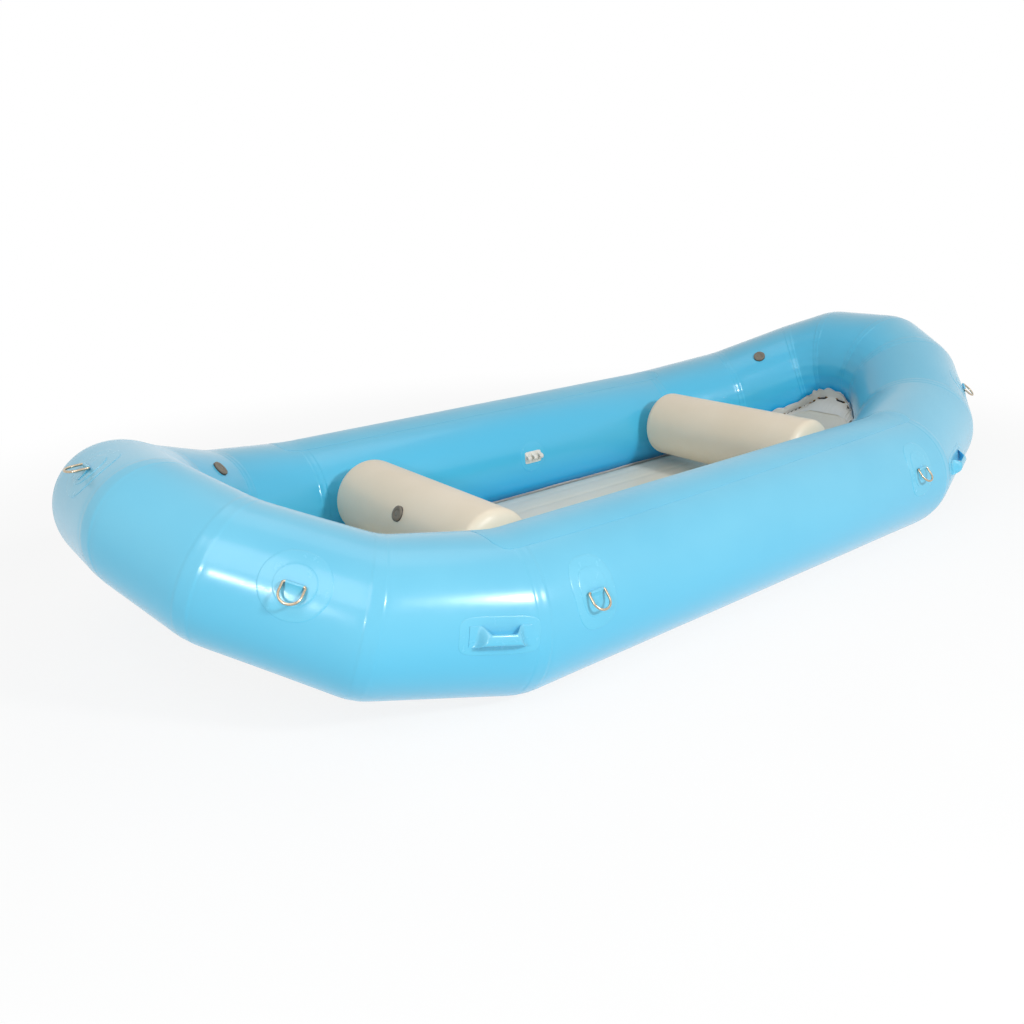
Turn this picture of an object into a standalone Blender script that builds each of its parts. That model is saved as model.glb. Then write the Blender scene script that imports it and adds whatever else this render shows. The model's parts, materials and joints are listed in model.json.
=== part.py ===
"""Self-bailing whitewater raft: four tube chambers, two thwarts and a laced-in floor.

Metres, +X to the bow, +Y to port, +Z up. The origin is on the ground, under the middle of
the straight part of the side tubes.
"""

import math

import bmesh
import bpy
from mathutils import Matrix, Vector

# Hull: the tube's centreline, from the middle of the port side to the bow and to the stern
tube_radius = 0.260
half_straight = 1.102
half_spacing = 0.764
skin = 0.0015
butt_gap = 0.0003
tube_sides = 32
# Each joint of an end: distance past the straight, distance in from the side tube's
# centreline, rise of the centreline, and change of radius
bow_joints = (
    (0.419, 0.107, 0.081, -0.017),
    (0.717, 0.373, 0.231, -0.033),
)
bow_nose = (0.836, 0.144, 0.333, -0.050)
stern_joints = (
    (0.509, 0.170, 0.073, 0.003),
    (0.836, 0.439, 0.218, 0.006),
)
stern_nose = (0.917, 0.144, 0.288, 0.009)

# Thwarts
thwart_radius = 0.162
thwart_height = 0.308
front_thwart_x = 0.885
rear_thwart_x = -0.951
thwart_dome = 0.053
thwart_sides = 20

# Fit between pieces
seat_gap = 0.0003
patch_thickness = 0.0024
# How deep a piece that is one with a patch reaches into it, above the tube's true circle
foot_depth = 0.0010

# Tie-down rings: 8 mm wire bent to a D
wire_radius = 0.004
ring_half_width = 0.032
ring_corner = 0.006
ring_arm = 0.030
ring_height = 0.009
ring_lift = 20.0
bow_ring_lift = 30.0
quarter_patch_radius = 0.1025
chape_width = 0.050
chape_tail = 0.046

# Lift handles
handle_from_bend = 0.117
handle_angle = 8.0
handle_patch = (0.250, 0.115, 0.045)
handle_span = 0.190
handle_rise = 0.027
handle_grip = (0.034, 0.009)
handle_foot = (0.062, 0.003)

# Valves
valve_flange = 0.031
valve_barrel = 0.021
valve_bore = 0.0173
valve_wall = 0.0033
valve_nut = 0.028
valve_stem = 0.004
valve_play = 0.0004
bow_valve_angle = 138.0
stern_valve_angle = 132.0
low_valve_angle = 160.0
thwart_valve_angle = 28.0
thwart_valve_y = 0.030
valve_sides = 12

# Thwart attachment: knuckles on the tube and on the thwart, with a batten through both
pad_radius = 0.075
knuckle_pitch = 0.037
knuckle_width = 0.020
knuckle_height = 0.015
knuckle_lobe = 0.012
knuckle_foot = 0.032
lug_width = 0.016
lug_lobe = 0.011
lug_base = 0.022
thwart_gap = 0.016
batten_radius = 0.0065
batten_length = 0.130
batten_clearance = 0.0005
thwart_pad_angle = 171.5
centre_pad_angle = 175.0
centre_pad_x = -0.058

# Floor and its lacing
floor_thickness = 0.085
floor_skin = 0.002
side_floor_inset = 0.82
end_floor_inset = 0.98
floor_bow_rise = (0.0, 0.093, 0.250, 0.320)
floor_stern_rise = (0.0, 0.067, 0.205, 0.240)
floor_valve_place = (0.45, 0.40)
floor_valve_radius = 0.024
cord_radius = 0.0025
cord_clearance = 0.0004
flap_thickness = 0.0015
flap_gap = 0.0010
grommet_hole = 0.0075
side_grommets = 4
end_grommets = (3, 4, 3, 1)

BLUE = (0.205, 0.610, 0.815, 1)
CREAM = (0.690, 0.640, 0.550, 1)
GREY = (0.560, 0.550, 0.500, 1)


# Scene set-up

for old in list(bpy.data.objects):
    bpy.data.objects.remove(old, do_unlink=True)


def new_collection(name):
    collection = bpy.data.collections.new(name)
    bpy.context.scene.collection.children.link(collection)
    return collection


parts = new_collection("whitewater_raft")
cutters = new_collection("cutters")
materials = {}


def material(name, colour, roughness, metallic=0.0):
    if name not in materials:
        made = bpy.data.materials.new(name)
        made.use_nodes = True
        shader = made.node_tree.nodes["Principled BSDF"]
        shader.inputs["Base Color"].default_value = colour
        shader.inputs["Roughness"].default_value = roughness
        shader.inputs["Metallic"].default_value = metallic
        materials[name] = made
    return materials[name]


def tube_fabric():
    return material("coated_fabric_blue", BLUE, 0.25)


def thwart_fabric():
    return material("coated_fabric_cream", CREAM, 0.45)


def floor_fabric():
    return material("coated_fabric_grey", GREY, 0.5)


def steel():
    return material("stainless_steel", (0.62, 0.60, 0.57, 1), 0.25, 1.0)


def valve_plastic():
    return material("valve_nylon", (0.19, 0.16, 0.12, 1), 0.5)


def white_plastic():
    return material("knuckle_nylon", (0.80, 0.78, 0.72, 1), 0.4)


def cord_fibre():
    return material("cord_polyester", (0.015, 0.015, 0.017, 1), 0.8)


def add_object(name, mesh, finish=None):
    """A part when it has a finish, and otherwise a cutter."""
    made = bpy.data.objects.new(name, mesh)
    if finish:
        parts.objects.link(made)
        mesh.materials.append(finish)
    else:
        cutters.objects.link(made)
        made.hide_render = True
        made.display_type = "WIRE"
    return made


def object_from(name, bm, finish=None, frame=None):
    bmesh.ops.recalc_face_normals(bm, faces=bm.faces)
    mesh = bpy.data.meshes.new(name)
    bm.to_mesh(mesh)
    bm.free()
    if finish:
        mesh.shade_smooth()
        mesh.set_sharp_from_angle(angle=math.radians(35))
    made = add_object(name, mesh, finish)
    if frame:
        made.matrix_world = frame
    return made


def boolean(target, other, operation="DIFFERENCE"):
    step = target.modifiers.new(operation.lower() + "_" + other.name, "BOOLEAN")
    step.operation = operation
    step.object = other
    step.solver = "EXACT"


# Shape helpers

def loft(rings):
    """Rings of the same count of points, joined in order, with flat ends. A side that is
    not flat is always folded along the same corner pair, so that skins nest."""
    bm = bmesh.new()
    rows = [[bm.verts.new(point) for point in ring] for ring in rings]
    for low, high in zip(rows, rows[1:]):
        for i in range(len(low)):
            j = (i + 1) % len(low)
            bm.faces.new((low[i], low[j], high[j]))
            bm.faces.new((low[i], high[j], high[i]))
    bm.faces.new(rows[0][::-1])
    bm.faces.new(rows[-1])
    return bm


def prism(outline, low, high):
    """An outline in X and Y, raised between two heights along Z."""
    return loft([[(x, y, z) for x, y in outline] for z in (low, high)])


def slab(outline, half_width):
    """An outline in Y and Z, given its width along X."""
    return loft([[(x, y, z) for y, z in outline] for x in (-half_width, half_width)])


def arc(centre, radius, start, end, steps):
    """Points on a circle between two angles in degrees."""
    angles = [math.radians(start + (end - start) * i / steps) for i in range(steps + 1)]
    return [(centre[0] + radius * math.cos(a), centre[1] + radius * math.sin(a)) for a in angles]


def circle(radius, count):
    return arc((0, 0), radius, 0, 360, count)[:-1]


def rounded_rectangle(length, width, corner, steps=4):
    x, y = length / 2 - corner, width / 2 - corner
    corners = (((x, y), 0), ((-x, y), 90), ((-x, -y), 180), ((x, -y), 270))
    return [p for centre, a in corners for p in arc(centre, corner, a, a + 90, steps)]


def rod(name, radius, low, high, sides, frame):
    """A straight cutter along the frame's Z axis, whose flats touch the radius."""
    outline = circle(radius / math.cos(math.pi / sides), sides)
    return object_from(name, prism(outline, low, high), None, frame)


def turned(name, profile, sides, finish, frame):
    """A profile of (radius, height) points, top first down its outer side, spun about Z."""
    mesh = bpy.data.meshes.new(name)
    points = [(r, 0, z) for r, z in profile]
    closed = profile[0][0] > 0
    count = len(points)
    edges = [(i, (i + 1) % count) for i in range(count if closed else count - 1)]
    mesh.from_pydata(points, edges, [])
    made = add_object(name, mesh, finish)
    made.matrix_world = frame
    spin = made.modifiers.new("spin", "SCREW")
    spin.steps = spin.render_steps = sides
    spin.use_merge_vertices = True
    spin.merge_threshold = 0.0001
    spin.use_smooth_shade = True
    return made


# The tube's centreline and surface

class Joint:
    """A mitre joint of the tube: its centre, radius, and the directions of its plane."""

    def __init__(self, point, radius):
        self.point = Vector(point)
        self.radius = radius


def half_centreline(side):
    """Joints from the bow's middle along one side to the stern's middle."""
    def joint(along, y, rise, change):
        point = (along, y * side, tube_radius + rise)
        return Joint(point, tube_radius + change)

    def end(direction, joints, nose):
        past, half_nose, rise, change = nose
        tip = direction * (half_straight + past)
        inner = [joint(tip, 0, rise, change), joint(tip, half_nose, rise, change)]
        outer = [
            joint(direction * (half_straight + x), half_spacing - y, z, r)
            for x, y, z, r in reversed(joints)
        ]
        return inner + outer + [joint(direction * half_straight, half_spacing, 0, 0)]

    chain = end(1, bow_joints, bow_nose)
    chain.append(joint(0, half_spacing, 0, 0))
    chain += reversed(end(-1, stern_joints, stern_nose))
    for i, here in enumerate(chain):
        before = (here.point - chain[i - 1].point).normalized() if i else None
        after = (chain[i + 1].point - here.point).normalized() if i < len(chain) - 1 else None
        before, after = before or after, after or before
        here.along = (before + after).normalized()
        across = after - before
        here.bend = across.normalized() if across.length > 1e-6 else Vector((0, 0, 0))
        here.stretch = 1 / here.along.dot(before)
        here.up = (Vector((0, 0, 1)) - here.along * here.along.z).normalized()
        here.out = here.along.cross(here.up) * side
    return chain


BOW, BOW_NOSE, BOW_C, BOW_B, BOW_A, MIDDLE, STERN_A, STERN_B, STERN_C, STERN_NOSE, STERN = range(11)


def joint_point(joint, angle, offset=0.0):
    """The tube's surface at a joint; 0 degrees is outboard and 90 is up."""
    a = math.radians(angle)
    around = joint.out * math.cos(a) + joint.up * math.sin(a)
    around += joint.bend * joint.bend.dot(around) * (joint.stretch - 1)
    return joint.point + around * (joint.radius + offset)


def tube_rings(joints, offset, overrun=0.0):
    """Rings of the tube's flats at each joint, with one more past each end for an overrun."""
    turn = 360 / tube_sides
    angles = [(i + 0.5) * turn for i in range(tube_sides)]
    rings = [[joint_point(j, a, offset) for a in angles] for j in joints]
    if overrun:
        def beyond(end, inner):
            return [p + (p - q).normalized() * overrun for p, q in zip(end, inner)]

        rings = [beyond(rings[0], rings[1]), *rings, beyond(rings[-1], rings[-2])]
    return rings


def radius_at(joints, first, distance):
    a, b = joints[first], joints[first + 1]
    return a.radius + (b.radius - a.radius) * distance / (b.point - a.point).length


def place_on_tube(joints, first, distance, angle, height=0.0):
    """A frame on the tube: Z off the surface, Y down round the tube, X along it."""
    a, b = joints[first], joints[first + 1]
    along = (b.point - a.point).normalized()
    share = distance / (b.point - a.point).length
    centre = a.point.lerp(b.point, share)
    radius = radius_at(joints, first, distance)
    up = (Vector((0, 0, 1)) - along * along.z).normalized()
    out = along.cross(up)
    if out.dot(a.out) < 0:
        out = -out
    turn = math.radians(angle)
    off = out * math.cos(turn) + up * math.sin(turn)
    down = out * math.sin(turn) - up * math.cos(turn)
    taper = (b.radius - a.radius) / (b.point - a.point).length
    normal = (off - along * taper).normalized()
    frame = Matrix((down.cross(normal), down, normal)).transposed().to_4x4()
    frame.translation = centre + off * radius + normal * height
    return frame


port = half_centreline(1)
starboard = half_centreline(-1)
sides = {"port": port, "starboard": starboard}


# Tube chambers: each quarter is a skin, open where it meets the next and closed by its own
# baffle at the other end

def chamber(name, joints, baffle_first, valve_frame):
    """A quarter of the hull, with its baffle at its first or its last joint."""
    def trimmed(offset, first_cut, last_cut):
        rings = tube_rings(joints, offset)
        ends = (joints[0], joints[1], first_cut), (joints[-1], joints[-2], last_cut)
        for ring, (end, inner, cut) in zip((rings[0], rings[-1]), ends):
            step = (inner.point - end.point).normalized() * cut
            for point in ring:
                point += step
        return rings

    gap = butt_gap / 2
    cuts = (gap + skin, -skin) if baffle_first else (-skin, gap + skin)
    made = object_from(name, loft(trimmed(0, gap, gap)), tube_fabric())
    air = object_from(name + "_air", loft(trimmed(-skin, *cuts)))
    hole = rod(name + "_valve_hole", valve_barrel + seat_gap, -0.04, 0.02, 16, valve_frame)
    boolean(air, hole, "UNION")
    boolean(made, air)


def quarter_valve_frame(joints, bow, low):
    """The middle of a quarter's end part, or for a low valve that of the part before it."""
    first, angle = (BOW_C, bow_valve_angle) if bow else (STERN_B, stern_valve_angle)
    if low:
        first, angle = STERN_A, low_valve_angle
    half = (joints[first + 1].point - joints[first].point).length / 2
    return place_on_tube(joints, first, half, angle)


valve_frames = {}
for side, joints in sides.items():
    for end, bow in (("bow", True), ("stern", False)):
        # Only the stern's port valve is low, beside the rear thwart
        frame = quarter_valve_frame(joints, bow, side == "port" and not bow)
        valve_frames[f"{end}_{side}"] = frame
        quarter = joints[BOW:MIDDLE + 1] if bow else joints[MIDDLE:]
        chamber(f"{end}_{side}_chamber", quarter, side == "port", frame)


# Patches: a skin that follows the tube's flats, cut to an outline

def tube_patch(name, joints, outline, frame, finish):
    skin_top = loft(tube_rings(joints, seat_gap + patch_thickness))
    made = object_from(name, skin_top, finish)
    below = object_from(name + "_under", loft(tube_rings(joints, seat_gap, 0.05)))
    shape = object_from(name + "_outline", prism(outline, -0.06, 0.06), None, frame)
    boolean(made, shape, "INTERSECT")
    boolean(made, below)
    return made


def drop(y, radius):
    """How far a round surface has fallen away at a distance round it."""
    return radius - math.sqrt(radius * radius - y * y)


# Tie-down rings, each in a folded tab on its patch

def ring_curve(name, frame, lift):
    """A D of wire in the frame's X and Y, with its straight bar on the X axis."""
    w, c = ring_half_width, ring_corner
    points = arc((w - c, c), c, -90, 0, 1)
    points += arc((0, ring_arm), w, 0, 180, 6)
    points += arc((-w + c, c), c, 180, 270, 1)
    curve = bpy.data.curves.new(name, "CURVE")
    curve.dimensions = "3D"
    curve.bevel_depth = wire_radius
    curve.bevel_resolution = 1
    spline = curve.splines.new("POLY")
    spline.points.add(len(points) - 1)
    for point, (x, y) in zip(spline.points, points):
        point.co = (x, y, 0, 1)
    spline.use_cyclic_u = True
    made = bpy.data.objects.new(name, curve)
    parts.objects.link(made)
    curve.materials.append(steel())
    made.matrix_world = frame @ Matrix.Rotation(math.radians(lift), 4, "X")
    return made


def chape(name, radius, frame):
    """The folded tab: a sleeve round the ring's bar, and a tail that tapers down the tube."""
    sleeve = wire_radius + 0.003
    bar = ring_height
    steps = [chape_tail * i / 3 for i in range(4)]
    under = [(y, foot_depth - drop(y, radius)) for y in [-0.010] + steps]
    over = [(y, 0.0045 - drop(y, radius)) for y in (chape_tail, chape_tail / 2)]
    outline = under + over + arc((0, bar), sleeve, 10, 190, 5)
    bm = slab(outline, chape_width / 2)
    for vert in bm.verts:
        vert.co.x *= 1 - 0.3 * max(vert.co.y, 0) / chape_tail
    made = object_from(name + "_tab", bm, None, frame)
    across = frame @ Matrix.Translation((0, 0, bar)) @ Matrix.Rotation(math.pi / 2, 4, "Y")
    bore = rod(name + "_bore", wire_radius + 0.0006, -0.04, 0.04, 8, across)
    return made, bore


def tie_down(name, joints, first, distance, angle, outline, span, lift=ring_lift):
    frame = place_on_tube(joints, first, distance, angle)
    radius = radius_at(joints, first, distance)
    patch = tube_patch(name + "_patch", span, outline, frame, tube_fabric())
    tab, bore = chape(name, radius, frame)
    boolean(patch, tab, "UNION")
    boolean(patch, bore)
    ring_curve(name, frame @ Matrix.Translation((0, 0, ring_height)), lift)


round_patch = circle(quarter_patch_radius, 18)
tall_patch = rounded_rectangle(0.160, 0.236, 0.070, 2)
nose_span = [starboard[BOW_NOSE], port[BOW], port[BOW_NOSE]]
tie_down("bow_ring", port, BOW, 0, 57, round_patch, nose_span, bow_ring_lift)
for side, joints in sides.items():
    bow_length = (joints[BOW_B].point - joints[BOW_C].point).length
    straight = 2 * half_straight
    rings = (
        ("bow_quarter", BOW_C, bow_length - 0.189, 34, round_patch),
        ("fore", BOW_A, 0.175, 22.5, tall_patch),
        ("aft", MIDDLE, half_straight - 0.175, 22.5, tall_patch),
        ("stern_quarter", STERN_B, 0.190, 30, round_patch),
    )
    for where, first, distance, angle, outline in rings:
        span = joints[first:first + 2]
        tie_down(f"{where}_{side}_ring", joints, first, distance, angle, outline, span)


# Lift handles: a patch with a webbing grip that stands off it

def handle(name, joints, first, distance):
    frame = place_on_tube(joints, first, distance, handle_angle)
    radius = radius_at(joints, first, distance)
    outline = rounded_rectangle(*handle_patch, 3)
    made = tube_patch(name, joints[first:first + 2], outline, frame, tube_fabric())
    # Stations along half the grip: share of the span, share of the rise, share of the waist
    stations = ((1, 0, 0), (0.88, 0.02, 0.1), (0.72, 0.45, 0.6), (0.5, 0.93, 0.95), (0, 1, 1))
    whole = [(-s, h, w) for s, h, w in stations] + [(s, h, w) for s, h, w in stations[-2::-1]]
    rings = []
    for share, rise, waist in whole:
        x = share * handle_span / 2
        width = handle_foot[0] + (handle_grip[0] - handle_foot[0]) * waist
        thick = handle_foot[1] + (handle_grip[1] - handle_foot[1]) * waist
        low = foot_depth + handle_rise * rise - thick * waist / 2
        section = ((-0.5, 0.3), (-0.25, 0), (0.25, 0), (0.5, 0.3), (0.3, 1), (-0.3, 1))
        rings.append([
            (x, a * width, low + b * thick - drop(a * width, radius) * (1 - waist))
            for a, b in section
        ])
    grip = object_from(name + "_grip", loft(rings), None, frame)
    boolean(made, grip, "UNION")


for side, joints in sides.items():
    bow_run = (joints[BOW_A].point - joints[BOW_B].point).length
    handle(f"bow_{side}_handle", joints, BOW_B, bow_run - handle_from_bend)
    handle(f"stern_{side}_handle", joints, STERN_A, handle_from_bend)


# Valves: a body clamped through the skin, a push-in plunger and a lift-off cap

def valve(name, frame, surface_radius, flats):
    facet = surface_radius * (1 - math.cos(math.pi / flats))
    nut = -(skin + facet + drop(valve_nut, surface_radius) + 3 * valve_play)
    flange, barrel, bore, stem, top = valve_flange, valve_barrel, valve_bore, valve_stem, valve_wall
    web, seat = -0.014, -0.026
    body = (
        (bore, top), (flange - 0.002, top), (flange, top - 0.001), (flange, seat_gap),
        (barrel, seat_gap), (barrel, nut), (valve_nut, nut), (valve_nut, nut - 0.003),
        (barrel, nut - 0.003), (barrel, seat), (bore, seat),
    )
    made = turned(name + "_body", body, valve_sides, valve_plastic(), frame)
    bar = rounded_rectangle(bore + barrel, 0.014, 0.001, 1)
    boolean(made, object_from(name + "_web", prism(bar, web - 0.003, web), None, frame), "UNION")
    boolean(made, rod(name + "_stem_hole", stem + valve_play, -0.02, 0.003, 8, frame))
    plunger = (
        (0, -0.0046), (0.010, -0.0046), (0.010, -0.0076), (stem, -0.0076),
        (stem, seat - seat_gap), (barrel - 0.002, seat - seat_gap),
        (barrel - 0.002, seat - 0.003), (0, seat - 0.003),
    )
    turned(name + "_plunger", plunger, 10, valve_plastic(), frame)
    lid = top + seat_gap
    skirt = bore - valve_play
    cap = (
        (0, lid + 0.006), (flange - 0.004, lid + 0.005), (flange, lid + 0.003), (flange, lid),
        (skirt, lid), (skirt, -0.004), (0, -0.004),
    )
    turned(name + "_cap", cap, valve_sides, valve_plastic(), frame)


for where, frame in valve_frames.items():
    valve(f"{where}_valve", frame, port[BOW_C].radius, tube_sides)


# Thwart pads: three knuckles on a round patch

def bore_frame(frame, height):
    """A frame whose Z runs along the given frame's X, at a height above it."""
    return frame @ Matrix.Translation((0, 0, height)) @ Matrix.Rotation(math.pi / 2, 4, "Y")


def knuckle_pad(name, joints, x, angle):
    first = BOW_A if x > 0 else MIDDLE
    start = joints[first].point.x
    frame = place_on_tube(joints, first, start - x, angle)
    made = tube_patch(name, joints[first:first + 2], circle(pad_radius, 18), frame, white_plastic())
    foot = [(y, foot_depth - drop(y, tube_radius)) for y in (-knuckle_foot, 0, knuckle_foot)]
    outline = foot + arc((0, knuckle_height), knuckle_lobe, 30, 150, 4)
    for i in (-1, 0, 1):
        at = frame @ Matrix.Translation((i * knuckle_pitch, 0, 0))
        knuckle = object_from(f"{name}_knuckle_{i + 1}", slab(outline, knuckle_width / 2), None, at)
        boolean(made, knuckle, "UNION")
    hole = batten_radius + batten_clearance
    boolean(made, rod(name + "_bore", hole, -0.07, 0.07, 8, bore_frame(frame, knuckle_height)))
    return frame


pad_frames = {}
for side, joints in sides.items():
    knuckle_pad(f"centre_{side}_pad", joints, centre_pad_x, centre_pad_angle)
    for where, x in (("front", front_thwart_x), ("rear", rear_thwart_x)):
        pad_frames[where, side] = knuckle_pad(f"{where}_{side}_pad", joints, x, thwart_pad_angle)


# Thwarts: an inflated cylinder with domed ends, with lugs between the knuckles

def thwart(where, x, facing):
    # The batten's axis at port sets the thwart's length
    pin = pad_frames[where, "port"] @ Vector((0, 0, knuckle_height))
    tip = pin.y - thwart_gap
    centre = Matrix.Translation((x, 0, thwart_height))
    upright = centre @ Matrix.Rotation(-math.pi / 2, 4, "X")

    def shell(inset):
        radius, height = thwart_radius - inset, thwart_dome - inset
        quarter = [math.radians(90 - 22.5 * i) for i in range(5)]
        dome = [(radius * math.cos(a), tip - thwart_dome + height * math.sin(a)) for a in quarter]
        dome[0] = (0, dome[0][1])
        return dome + [(r, -z) for r, z in reversed(dome)]

    name = where + "_thwart"
    made = turned(name, shell(0), thwart_sides, thwart_fabric(), upright)
    boolean(made, turned(name + "_air", shell(skin), thwart_sides, None, upright))
    turn = Matrix.Rotation(math.radians(90 - thwart_valve_angle) * facing, 4, "Y")
    valve_frame = centre @ Matrix.Translation((0, thwart_valve_y, 0)) @ turn
    valve_frame = valve_frame @ Matrix.Translation((0, 0, thwart_radius))
    boolean(made, rod(name + "_valve_hole", valve_barrel + seat_gap, -0.04, 0.02, 16, valve_frame))
    valve(name + "_valve", valve_frame, thwart_radius, thwart_sides)
    reach = thwart_gap + 0.004
    outline = [(-lug_base, -reach), (lug_base, -reach)]
    outline += arc((0, 0), lug_lobe, 10, 170, 6)
    for side, sign in (("port", 1), ("starboard", -1)):
        at = Matrix.Translation((x, pin.y * sign, pin.z)) @ Matrix.Rotation(-math.pi / 2 * sign, 4, "X")
        for i in (-1, 1):
            place = at @ Matrix.Translation((i * knuckle_pitch / 2, 0, 0))
            lug = object_from(f"{name}_{side}_lug_{i + 1}", slab(outline, lug_width / 2), None, place)
            boolean(made, lug, "UNION")
        hole = batten_radius + batten_clearance
        boolean(made, rod(f"{name}_{side}_bore", hole, -0.07, 0.07, 8, bore_frame(at, 0)))
        ahead = Matrix.Translation((x, pin.y * sign, pin.z)) @ Matrix.Rotation(math.pi / 2, 4, "Y")
        head = batten_length / 2
        batten = ((0, head), (0.009, head), (0.009, head - 0.004), (batten_radius, head - 0.004),
                  (batten_radius, -head), (0, -head))
        turned(f"{where}_{side}_batten", batten, 10, steel(), ahead)


thwart("front", front_thwart_x, 1)
thwart("rear", rear_thwart_x, -1)


# Floor: an inflated mattress that follows the hull's rocker, with a lacing flap all round

# Places round the tube, in flats past level outboard: where the tube's own flap is welded,
# and the lower edge, grommets and rim of the stretch where the two flaps lie together
flat_turn = -360 / tube_sides
weld_turn = 10.5 * flat_turn
side_turns = (11.0 * flat_turn, 11.65 * flat_turn, 12.2 * flat_turn)
end_turns = (11.6 * flat_turn, 12.65 * flat_turn, 13.5 * flat_turn)

back_cord = 0.0045
tube_flap_at = back_cord + cord_radius + cord_clearance
floor_flap_at = tube_flap_at + flap_thickness + flap_gap
front_cord = floor_flap_at + flap_thickness + cord_clearance + cord_radius


class Station:
    """Where the floor's edge and its lacing pass one joint of the hull."""

    def __init__(self, joint, rise):
        self.joint = joint
        side_run = rise == 0
        inset = side_floor_inset if side_run else end_floor_inset
        inboard = joint.out * -joint.radius * inset * joint.stretch
        self.edge = joint.point + Vector((inboard.x, inboard.y, 0))
        self.edge.z = floor_thickness / 2 + rise
        turns = side_turns if side_run else end_turns
        self.low, self.middle, self.rim = (joint_point(joint, turn) for turn in turns)


def floor_stations():
    """Round the whole hull: port bow to stern, then starboard stern to bow."""
    rises = list(reversed(floor_bow_rise))
    rises = [rises[0]] + rises + [0.0] + list(floor_stern_rise) + [floor_stern_rise[-1]]
    down = [Station(j, rise) for j, rise in zip(port, rises)]
    back = [Station(j, rise) for j, rise in zip(starboard, rises)]
    return down + back[-2:0:-1]


stations = floor_stations()


def floor_shell(inset):
    """Cross-sections of the mattress from stern to bow, drawn in by the inset."""
    half = len(port)
    rings = []
    for station in reversed(stations[:half]):
        x, w, z = station.edge.x, station.edge.y, station.edge.z
        if w < 0.01:
            continue
        t = floor_thickness / 2 - inset
        w -= inset
        lip = 0.02
        rings.append([
            (x, w - lip, z + t), (x, -w + lip, z + t), (x, -w, z + t - lip), (x, -w, z - t + lip),
            (x, -w + lip, z - t), (x, w - lip, z - t), (x, w, z - t + lip), (x, w, z + t - lip),
        ])
    for ring, sign in ((rings[0], 1), (rings[-1], -1)):
        ring[:] = [(x + sign * inset, y, z) for x, y, z in ring]
    return loft(rings)


class Grommet:
    """A hole in the flaps: a frame on the tube's surface, X along the lacing and Z off the
    tube, and the flaps' reach each way from it."""

    def __init__(self, before, after, share):
        self.before, self.after, self.share = before, after, share
        low = before.low.lerp(after.low, share)
        middle = before.middle.lerp(after.middle, share)
        rim = before.rim.lerp(after.rim, share)
        run = after.middle - before.middle
        up = rim - low
        along = run.normalized()
        off = along.cross(up).normalized()
        if off.dot(middle - before.joint.point) < 0:
            off = -off
        rise = off.cross(along)
        self.frame = Matrix((along, rise, off)).transposed().to_4x4()
        self.frame.translation = middle
        half = grommet_hole / 2
        reach = ((low - middle).length, half, half, (rim - middle).length)
        toward_rim = math.copysign(1, rise.dot(up))
        self.reach = [y * sign * toward_rim for y, sign in zip(reach, (-1, -1, 1, 1))]
        self.half_share = half / run.length

    def across(self, x, level):
        """Points up the flaps, at a place along the lacing and a height off the tube."""
        return [self.frame @ Vector((x, y, level)) for y in self.reach]


def all_grommets():
    quarter = (*reversed(end_grommets), side_grommets)
    counts = quarter + quarter[::-1]
    counts += counts[::-1]
    around = list(zip(stations, stations[1:] + stations[:1], counts))
    return [Grommet(a, b, (j + 0.5) / count) for a, b, count in around for j in range(count)]


grommets = all_grommets()


def band(name, attach, offset, level, finish=None):
    """A closed strip round the hull with a square hole at each grommet, from where it is
    attached up to its rim, and thickened away from the tube."""
    bm = bmesh.new()
    rows, holed = [], set()
    half = grommet_hole / 2
    for here, ahead in zip(grommets, grommets[1:] + grommets[:1]):
        feet = attach(here.before, offset), attach(here.after, offset)
        holed.add(len(rows))
        for sign in (-1, 1):
            foot = feet[0].lerp(feet[1], here.share + sign * here.half_share)
            rows.append((foot, *here.across(sign * half, level)))
        if ahead.before is not here.before:
            pairs = zip(rows[-1][1:], ahead.across(-half, level))
            rows.append((feet[1], *[p.lerp(q, 0.5) for p, q in pairs]))
    rows = [[bm.verts.new(point) for point in row] for row in rows]
    for i, (here, ahead) in enumerate(zip(rows, rows[1:] + rows[:1])):
        for k in range(len(here) - 1):
            if i in holed and k == 2:
                continue
            bm.faces.new((here[k], here[k + 1], ahead[k + 1]))
            bm.faces.new((here[k], ahead[k + 1], ahead[k]))
    bm.normal_update()
    bm.faces.ensure_lookup_table()
    if bm.faces[-1].normal.dot(grommets[0].frame.col[2].to_3d()) < 0:
        bmesh.ops.reverse_faces(bm, faces=bm.faces)
    mesh = bpy.data.meshes.new(name)
    bm.to_mesh(mesh)
    bm.free()
    made = add_object(name, mesh, finish)
    wall = made.modifiers.new("wall", "SOLIDIFY")
    wall.thickness = flap_thickness
    wall.offset = 1
    wall.use_even_offset = True
    return made


def at_weld(station, offset):
    return joint_point(station.joint, weld_turn, offset)


def at_floor(station, offset):
    """The mattress's side, just inside its skin."""
    outward = Vector((station.joint.out.x, station.joint.out.y, 0)).normalized()
    return station.edge - outward * offset


floor = object_from("floor", floor_shell(0), floor_fabric())
flap = band("floor_flap", at_floor, 0.0003, floor_flap_at)
boolean(floor, flap, "UNION")
valve_top = Matrix.Translation((*floor_valve_place, floor_thickness))
floor_air = object_from("floor_air", floor_shell(floor_skin))
boolean(floor_air, rod("floor_valve_hole", floor_valve_radius, -0.03, 0.02, 16, valve_top), "UNION")
boolean(floor, floor_air)

band("tube_lacing_flap", at_weld, seat_gap, tube_flap_at, tube_fabric())

relief = (
    (0.012, 0.006), (0.030, 0.004), (0.030, seat_gap), (floor_valve_radius - 0.0005, seat_gap),
    (floor_valve_radius - 0.0005, -0.016), (0.012, -0.016),
)
turned("floor_relief_valve", relief, valve_sides, valve_plastic(), valve_top)


# Lacing cord: a running stitch through both flaps, all the way round

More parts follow.
